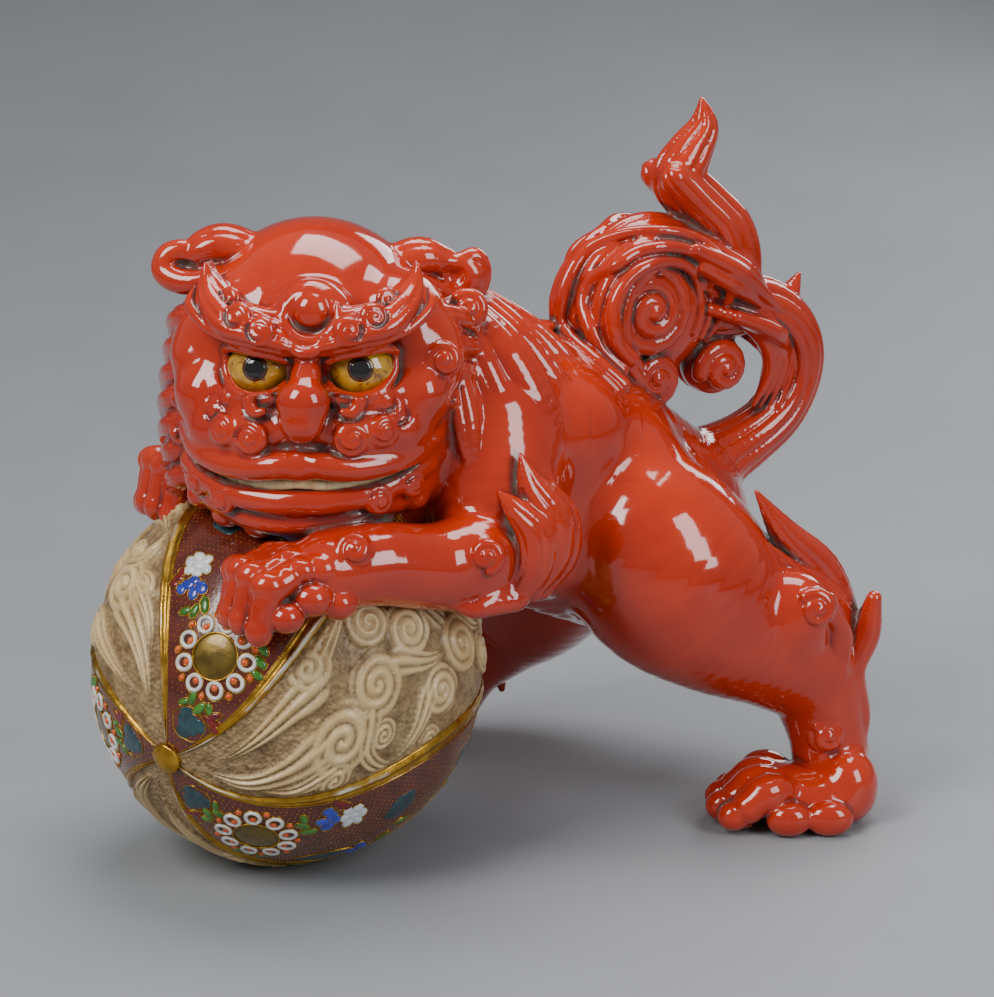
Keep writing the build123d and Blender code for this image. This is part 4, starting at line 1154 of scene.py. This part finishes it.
# the brocade's gold dots, in staggered rows
speckle = Batch()
pitch = 1.95                            # between one speck and the next
polar_rows = np.arange(FIRST_POLAR + 1.5, 180 - FIRST_POLAR - 1.5, math.degrees(pitch / SHELL_RADIUS))
speck_x, speck_y = (0.31 * part for part in round_points(6))
speck_faces = [[i, (i + 1) % 6, 6] for i in range(6)] + [[(i + 1) % 6, i, 7] for i in range(6)]
for index in range(3):
    middle = FIRST_BROWN + 120 * index
    for row, polar in enumerate(polar_rows):
        ring = math.sin(math.radians(polar)) * SHELL_RADIUS
        half = math.radians(GORE / 2 - BAND) * ring - 1.0
        count = int(half / pitch)
        for k in range(-count, count + 1):
            across = (k + 0.5 * (row % 2)) * pitch
            if abs(across) > half:
                continue
            place = patch_frame(polar, middle + math.degrees(across / ring))
            rim = on_patch(place, speck_x, speck_y, np.full(6, BROCADE + 0.02))
            tips = on_patch(place, np.zeros(2), np.zeros(2), np.array([BROCADE + 0.22, BROCADE - 0.2]))
            speckle.add(np.vstack([rim, tips]), speck_faces)


# ------------------------------------------------------------------ eyes, teeth and bosses
def shaped_ball(name, centre, radii, axes, rings=36, around=48, shape=None):
    """A closed rounded form about a centre, its pole along the first axis."""
    batch = Batch()
    tilt = np.linspace(0, math.pi, rings)[1:-1]
    turn = np.linspace(0, 2 * math.pi, around, endpoint=False)
    a, b = np.meshgrid(tilt, turn, indexing="ij")
    reach = 1.0 if shape is None else shape(a, b)
    local = np.stack([np.cos(a) * reach, np.sin(a) * np.cos(b) * reach, np.sin(a) * np.sin(b) * reach], -1)
    points = (local * np.asarray(radii)) @ np.asarray(axes) + centre
    poles = np.array([[radii[0], 0, 0], [-radii[0], 0, 0]]) @ np.asarray(axes) + centre
    count = points.shape[0] * around
    last = count - around
    batch.add(np.vstack([points.reshape(-1, 3), poles]), grid_faces(points.shape[0], around, wrap=True))
    batch.faces.append(np.array([[(i + 1) % around, i, count] for i in range(around)]))
    batch.faces.append(np.array([[last + i, last + (i + 1) % around, count + 1] for i in range(around)]))
    return batch.build(name)


def facing(forward):
    """Rows of directions: forward, to the right, and up."""
    first, second = square_to(forward)
    return np.array([unit(forward), -second, first])


def eye_cap(name, centre, axes, radii, spot, size, rise):
    """A round patch of glaze lying on the front of an eyeball."""
    batch = Batch()
    cosine, sine = round_points(40)
    rows = []
    for share, lift in ((1.0, -0.5), (1.0, 0.02), (0.93, 0.7), (0.8, 0.92), (0.6, 1.0), (0.3, 1.0),
                        (0.04, 1.0)):
        side = spot[0] + size * share * cosine
        up = spot[1] + size * share * sine
        ahead = radii[0] * np.sqrt(1 - (side / radii[1]) ** 2 - (up / radii[2]) ** 2) + rise * lift
        rows.append(np.stack([ahead, side, up], -1) @ axes + centre)
    batch.tube(np.array(rows))
    return batch.build(name)


EYEBALL = (8.6, 11.4, 9.6)
eyes = {}
for side, sign in (("left", 1), ("right", -1)):
    axes = facing(face_way(sign * 0.16, -1, 0.02))
    centre = face(sign * 17.6, -37.2, 8.0)
    ball = shaped_ball(f"eye_{side}", centre, EYEBALL, axes, rings=40, around=56,
                       shape=lambda a, b: 1 + 0.012 * np.cos(6 * b) * np.sin(a) ** 2)
    spot = (-sign * 0.8, 1.5)
    rim = eye_cap(f"iris_ring_{side}", centre, axes, EYEBALL, spot, 4.5, 0.16)
    eyes[side] = (ball, eye_cap(f"pupil_{side}", centre, axes, EYEBALL, spot, 3.6, 0.32), rim)

TEETH_ROW = ((-38, -30.5, -25.0), (-31, -37.6, -27.6), (-21, -44.6, -29.7), (-10, -49.4, -30.0),
             (0, -51.2, -29.0), (10, -49.4, -30.0), (21, -44.6, -29.7), (31, -37.6, -27.6),
             (38, -30.5, -25.0))
TOOTH = 5.4                             # width of one tooth


def teeth_mesh():
    """A strip of teeth that follows the mouth, notched between one tooth and the next."""
    path, sizes = smooth_path([face(*place) for place in TEETH_ROW], [1] * len(TEETH_ROW), 14)
    arc = np.concatenate([[0], np.cumsum(np.linalg.norm(np.diff(path, axis=0), axis=1))])
    along = np.gradient(path, axis=0)
    along /= np.linalg.norm(along, axis=1)[:, None]
    stand = face_way(0, 0.12, 1)
    ahead = np.cross(along, stand)
    ahead /= np.linalg.norm(ahead, axis=1)[:, None]
    notch = np.abs(np.sin(math.pi * arc / TOOTH)) ** 0.35
    taper = np.sin(np.linspace(0.15, math.pi - 0.15, len(path))) ** 0.35
    cosine, sine = round_points(14)
    batch = Batch()
    batch.tube(path[:, None] + ((1.0 + 0.3 * notch) * taper)[:, None, None] * cosine[:, None] * ahead[:, None]
               + ((1.75 + 0.2 * notch) * taper)[:, None, None] * sine[:, None] * stand,
               np.repeat(1 - notch, 14))
    return batch.build("teeth_strip")


def fang_mesh():
    """A small pointed fang at each corner of the mouth."""
    batch = Batch()
    for sign in (-1, 1):
        root = face(sign * 37.5, -33.0, -27.5)
        tip = root + face_way(sign * 0.1, -0.25, 1) * 5.4
        path, sizes = smooth_path([root, root + face_way(0, -0.1, 1) * 2.6, tip], (1.8, 1.5, 0.3), 8)
        one, two = square_to(face_way(0, 0, 1), face_way(0, -1, 0))
        cosine, sine = round_points(14)
        ring = cosine[:, None] * one + sine[:, None] * two
        batch.tube(path[:, None] + sizes[:, None, None] * ring)
    return batch.build("fangs")


teeth_strip, fangs = teeth_mesh(), fang_mesh()

bosses = {}
for name, way in (("ball_boss_front", POLE), ("ball_boss_rear", -POLE)):
    centre = BALL + way * (SHELL_RADIUS + 0.6)
    bosses[name] = shaped_ball(name, centre, (3.0, 5.6, 5.6), facing(way), rings=30, around=42,
                               shape=lambda a, b: 1 + 0.10 * np.exp(-((a - 1.15) / 0.16) ** 2)
                               + 0.03 * np.cos(8 * b) * np.sin(a) ** 4)


# ------------------------------------------------------------------ finishes
class Finish:
    """A node material with short calls for the textures used here."""

    def __init__(self, name):
        self.material = bpy.data.materials.new(name)
        self.material.use_nodes = True
        self.tree = self.material.node_tree
        self.shader = self.tree.nodes["Principled BSDF"]
        self.place = self.tree.nodes.new("ShaderNodeTexCoord").outputs["Object"]

    def set(self, **values):
        for key, value in values.items():
            self.shader.inputs[key.replace("_", " ")].default_value = value
        return self

    def link(self, source, key):
        self.tree.links.new(source, self.shader.inputs[key])

    def feed(self, socket, item):
        """Give a socket a number, a colour as a tuple, or a link from another socket."""
        if isinstance(item, (int, float)):
            socket.default_value = item
        elif isinstance(item, tuple):
            socket.default_value = colour(*item)
        else:
            self.tree.links.new(item, socket)

    def node(self, kind, settings=(), **inputs):
        node = self.tree.nodes.new("ShaderNode" + kind)
        for key, item in dict(settings).items():
            setattr(node, key, item)
        for key, item in inputs.items():
            self.feed(node.inputs[key.replace("_", " ")], item)
        return node

    def noise(self, scale, detail=3.0, rough=0.55, distort=0.0):
        return self.node("TexNoise", Scale=scale, Detail=detail, Roughness=rough, Distortion=distort,
                         Vector=self.place).outputs["Fac"]

    def cells(self, scale):
        return self.node("TexVoronoi", Scale=scale, Vector=self.place).outputs["Distance"]

    def hollow(self):
        return self.node("Attribute", {"attribute_name": "hollow"}).outputs["Fac"]

    def span(self, source, low, high, out_low=0.0, out_high=1.0):
        return self.node("MapRange", {"interpolation_type": "SMOOTHSTEP"}, From_Min=low, From_Max=high,
                         To_Min=out_low, To_Max=out_high, Value=source).outputs["Result"]

    def maths(self, kind, first, second):
        node = self.node("Math", {"operation": kind})
        for socket, item in zip(node.inputs, (first, second)):
            self.feed(socket, item)
        return node.outputs["Value"]

    def times(self, first, second):
        return self.maths("MULTIPLY", first, second)

    def mix(self, share, first, second):
        node = self.node("Mix", {"data_type": "RGBA"})
        sockets = [s for s in node.inputs if s.name in ("A", "B") and s.type == "RGBA"]
        factor = next(s for s in node.inputs if s.name == "Factor" and s.type == "VALUE")
        for socket, item in zip(sockets + [factor], (first, second, share)):
            self.feed(socket, item)
        return next(s for s in node.outputs if s.type == "RGBA")

    def bump(self, source, strength, distance):
        self.link(self.node("Bump", Strength=strength, Distance=distance, Height=source).outputs["Normal"],
                  "Normal")


def colour(red, green, blue):
    """A colour given as it looks on a screen, from 0 to 255, for a shader."""
    parts = [value / 255 for value in (red, green, blue)]
    return tuple(p / 12.92 if p <= 0.04045 else ((p + 0.055) / 1.055) ** 2.4 for p in parts) + (1.0,)


def vermilion():
    """Red glaze, with painted shade darkening it in the hollows, and a dusty wash in the hollows."""
    f = Finish("vermilion_glaze")
    patches = f.mix(f.span(f.noise(38, 4), 0.32, 0.68), (192, 47, 6), (176, 38, 6))
    # painted shade: the red turns a deep red wherever the form is hollow
    hollow_shade = f.mix(f.span(f.hollow(), 0.20, 0.50), patches, (140, 26, 10))
    worn = f.mix(f.times(f.span(f.noise(420, 5, 0.7), 0.42, 0.66), f.span(f.hollow(), 0.36, 0.62)),
                 hollow_shade, (98, 62, 54))
    dust = f.mix(f.times(f.span(f.noise(160, 5, 0.7), 0.36, 0.60), f.span(f.hollow(), 0.55, 0.85)),
                 worn, (112, 98, 92))
    specks = f.mix(f.span(f.noise(900, 2), 0.735, 0.76), dust, (90, 26, 14))
    f.link(specks, "Base Color")
    rough = f.span(f.hollow(), 0.35, 0.8, 0.09, 0.42)
    f.link(f.maths("ADD", rough, f.span(f.noise(70, 3), 0.3, 0.7, -0.015, 0.03)), "Roughness")
    f.bump(f.noise(110, 3, 0.5), 0.10, 0.0012)
    return f.set(Coat_Weight=0.65, Coat_Roughness=0.05, IOR=1.52).material


def enamel(name, first, second, rough=0.16, coat=0.4, metal=0.0, scale=300, bumps=0.12):
    """A glossy enamel that varies between two colours."""
    f = Finish(name)
    f.link(f.mix(f.span(f.noise(scale, 4), 0.30, 0.70), first, second), "Base Color")
    f.link(f.span(f.noise(scale * 0.7, 3), 0.25, 0.75, rough * 0.75, rough * 1.35), "Roughness")
    f.bump(f.noise(scale * 1.5, 3), bumps, 0.0006)
    return f.set(Coat_Weight=coat, Coat_Roughness=0.06, Metallic=metal).material


def cream():
    """Cream glaze, with a brown wash and a fine grain in the hollows."""
    f = Finish("cream_relief")
    base = f.mix(f.span(f.noise(60, 4), 0.3, 0.7), (222, 194, 142), (203, 170, 116))
    grain = f.mix(f.times(f.span(f.cells(620), 0.15, 0.6), 0.45), base, (150, 118, 74))
    wash = f.mix(f.span(f.hollow(), 0.22, 0.62), base, grain)
    deep = f.mix(f.times(f.span(f.hollow(), 0.42, 0.85), f.span(f.noise(210, 4), 0.25, 0.75, 0.35, 0.9)),
                 wash, (98, 70, 36))
    f.link(deep, "Base Color")
    f.link(f.span(f.hollow(), 0.2, 0.95, 0.34, 0.62), "Roughness")
    f.bump(f.times(f.cells(560), f.span(f.hollow(), 0.3, 0.9, 0.1, 1.0)), 0.75, 0.0011)
    return f.set(Coat_Weight=0.25, Coat_Roughness=0.18).material


def brocade_glaze():
    """The brown ground under the gold specks."""
    f = Finish("brocade_glaze")
    base = f.mix(f.span(f.noise(150, 4), 0.3, 0.7), (104, 36, 22), (78, 24, 17))
    f.link(base, "Base Color")
    f.link(f.span(f.noise(90, 3), 0.3, 0.7, 0.16, 0.30), "Roughness")
    f.bump(f.noise(500, 3), 0.15, 0.0006)
    return f.set(Coat_Weight=0.5, Coat_Roughness=0.08).material


def gilt(name, whitened=False):
    """Gilding, or gilding that shows worn white where the notes say."""
    f = Finish(name)
    base = f.mix(f.span(f.noise(180, 4), 0.3, 0.7), (202, 158, 58), (168, 122, 42))
    metal = f.span(f.noise(120, 3), 0.2, 0.5, 0.75, 0.95)
    if whitened:
        shown = f.times(f.hollow(), f.span(f.noise(45, 3), 0.46, 0.60))
        base = f.mix(shown, base, (214, 208, 190))
        metal = f.times(metal, f.maths("SUBTRACT", 1.0, shown))
    f.link(base, "Base Color")
    f.link(metal, "Metallic")
    f.link(f.span(f.noise(260, 4), 0.3, 0.7, 0.20, 0.40), "Roughness")
    f.bump(f.noise(340, 4), 0.22, 0.0008)
    return f.material


def amber():
    """Mottled amber glass."""
    f = Finish("amber_eye")
    base = f.mix(f.span(f.noise(190, 3, 0.6, 0.4), 0.35, 0.65), (206, 158, 40), (172, 120, 26))
    mottled = f.mix(f.span(f.noise(260, 3, 0.6, 0.8), 0.56, 0.70), base, (134, 72, 24))
    f.link(mottled, "Base Color")
    f.link(f.span(f.noise(80, 2), 0.3, 0.7, 0.05, 0.12), "Roughness")
    f.bump(f.noise(120, 2), 0.06, 0.0008)
    return f.set(Coat_Weight=0.9, Coat_Roughness=0.03).material


def ivory():
    """Ivory glaze, darker in the notches between the teeth."""
    f = Finish("ivory_teeth")
    base = f.mix(f.span(f.noise(240, 3), 0.3, 0.7), (226, 204, 160), (196, 160, 104))
    f.link(f.mix(f.span(f.hollow(), 0.3, 0.9), base, (150, 104, 60)), "Base Color")
    f.link(f.span(f.noise(200, 3), 0.3, 0.7, 0.18, 0.32), "Roughness")
    f.bump(f.noise(420, 3), 0.15, 0.0006)
    return f.set(Coat_Weight=0.4, Coat_Roughness=0.08).material


def give(thing, material, slot, *nodes):
    """Finish an object and say which CAD nodes it replaces."""
    thing.data.materials.clear()
    thing.data.materials.append(material)
    if nodes:
        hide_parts(*nodes)


red = vermilion()
for thing in lion.values():
    thing.data.materials.append(red)

gold_finish = gilt("gilding")
band_finish = gilt("gilding_over_white", whitened=True)
black = enamel("black_pupil", (16, 14, 16), (30, 26, 28), 0.06, 0.8, scale=200, bumps=0.05)
dark_rim = enamel("amber_rim", (92, 52, 18), (60, 30, 14), 0.10, 0.8, scale=260)
eye_finish = amber()
tooth_finish = ivory()
for side in ("left", "right"):
    ball, pupil, rim = eyes[side]
    give(ball, eye_finish, "amber_eye", f"eye_{side}")
    give(pupil, black, "black_pupil", f"pupil_{side}")
    give(rim, dark_rim, "amber_eye")
give(teeth_strip, tooth_finish, "ivory_teeth", "teeth_strip")
give(fangs, tooth_finish, "ivory_teeth", "fangs")
for name, thing in bosses.items():
    give(thing, band_finish, "gilding", name)
made = [thing for trio in eyes.values() for thing in trio] + [teeth_strip, fangs] + list(bosses.values())
for batch, name, material, slot, nodes in (
        (relief, "ball_relief_panels", cream(), "cream_relief", ("ball_relief_panels",)),
        (brocade, "ball_brocade_panels", brocade_glaze(), "brown_brocade", ("ball_brocade_panels",)),
        (bands, "ball_gilt_bands", band_finish, "gilding", ("ball_gilt_bands",)),
        (medallions, "ball_medallions", enamel("medallion_gold", (128, 104, 34), (98, 78, 26), 0.28, 0.3,
                                               0.55, 220), "gilding", ("ball_medallions",)),
        (petals, "ball_petals", enamel("white_enamel", (232, 230, 222), (206, 204, 200)), "white_enamel",
         ("ball_petals",)),
        (white, "ball_blossoms_white", enamel("blossom_white", (228, 228, 228), (198, 200, 206)),
         "white_enamel", ()),
        (blue, "ball_blossoms", enamel("blue_enamel", (54, 74, 196), (34, 48, 150)), "blue_enamel",
         ("ball_blossoms",)),
        (leaves, "ball_leaves", enamel("green_enamel", (76, 136, 44), (44, 94, 30)), "green_enamel",
         ("ball_leaves",)),
        (teal, "ball_teal_patches", enamel("teal_enamel", (34, 72, 80), (22, 48, 58)), "teal_enamel",
         ("ball_teal_patches",)),
        (crimson, "ball_crimson_leaves", enamel("crimson_enamel", (128, 22, 14), (92, 14, 12)),
         "brown_brocade", ()),
        (dots, "ball_petal_dots", enamel("orange_enamel", (230, 96, 40), (206, 74, 26)),
         "vermilion_glaze", ()),
        (gold, "ball_gold_lines", gold_finish, "gilding", ()),
        (speckle, "ball_gold_specks", gold_finish, "gilding", ())):
    thing = batch.build(name)
    give(thing, material, slot, *nodes)
    made.append(thing)
for thing in made:
    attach(thing, "root")

porcelain = enamel("bare_porcelain", (206, 198, 182), (182, 172, 154), 0.42, 0.1, scale=120)
for name in ("ball_front_shell", "ball_rear_shell"):
    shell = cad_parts[name]
    shell.data.materials.clear()
    shell.data.materials.append(porcelain)


# ------------------------------------------------------------------ floor, light and camera
def panel_light(name, place, aim, width, height, power, tint):
    """A soft box aimed at a place."""
    data = bpy.data.lights.new(name, "AREA")
    data.shape = "RECTANGLE"
    data.size, data.size_y = width, height
    data.energy = power
    data.color = tint
    thing = bpy.data.objects.new(name, data)
    thing.location = place
    thing.rotation_euler = (Vector(aim) - Vector(place)).to_track_quat("-Z", "Y").to_euler()
    bpy.context.scene.collection.objects.link(thing)
    return thing


def sweep_floor():
    """A floor that curves up far behind the lion into a plain backdrop."""
    wide, front, back, bend, tall = 4.0, -2.0, 0.6, 2.4, 3.6
    profile = [(front, 0.0), (back, 0.0)]
    profile += [(back + bend * math.sin(t), bend * (1 - math.cos(t)))
                for t in np.linspace(0, math.pi / 2, 13)[1:]]
    profile.append((back + bend, tall))
    points = [(x, y, z - 0.0002) for y, z in profile for x in (-wide, wide)]
    faces = [(2 * i, 2 * i + 1, 2 * i + 3, 2 * i + 2) for i in range(len(profile) - 1)]
    floor = mesh_object("floor", points, faces)
    f = Finish("floor_paper")
    f.link(f.mix(f.noise(3.0, 2), (139, 142, 146), (146, 149, 153)), "Base Color")
    f.link(f.span(f.noise(12, 2), 0.3, 0.7, 0.55, 0.7), "Roughness")
    f.bump(f.noise(600, 2), 0.03, 0.001)
    floor.data.materials.append(f.material)
    return floor


floor = sweep_floor()
aim = BALL * MM + np.array([0.076, 0.035, 0.054])
lights = [panel_light("key_light", (-0.75, -0.75, 1.05), aim, 0.55, 0.75, 15, (1.0, 0.98, 0.95)),
          panel_light("fill_light", (0.95, -0.85, 0.75), aim, 0.5, 0.8, 9, (0.95, 0.98, 1.0)),
          panel_light("top_light", (0.1, 0.25, 1.35), aim, 0.9, 0.6, 12, (1.0, 1.0, 1.0)),
          panel_light("rear_light", (0.6, 1.1, 0.7), aim, 0.6, 0.6, 5, (1.0, 1.0, 1.0))]
world = bpy.data.worlds.new("room")
world.use_nodes = True
world.node_tree.nodes["Background"].inputs["Color"].default_value = (0.80, 0.82, 0.85, 1)
world.node_tree.nodes["Background"].inputs["Strength"].default_value = 0.35
bpy.context.scene.world = world
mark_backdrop(floor, *lights)

VIEW_DISTANCE = 1.15
lens = bpy.data.cameras.new("camera")
lens.lens = 112.2
lens.sensor_width = 36.0
camera = bpy.data.objects.new("camera", lens)
pitch_down = math.radians(15.0)
sight = np.array([0.0, math.cos(pitch_down), -math.sin(pitch_down)])
camera.location = aim - VIEW_DISTANCE * sight
camera.rotation_euler = (math.pi / 2 - pitch_down, 0.0, 0.0)
bpy.context.scene.collection.objects.link(camera)
bpy.context.scene.camera = camera

low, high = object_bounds()
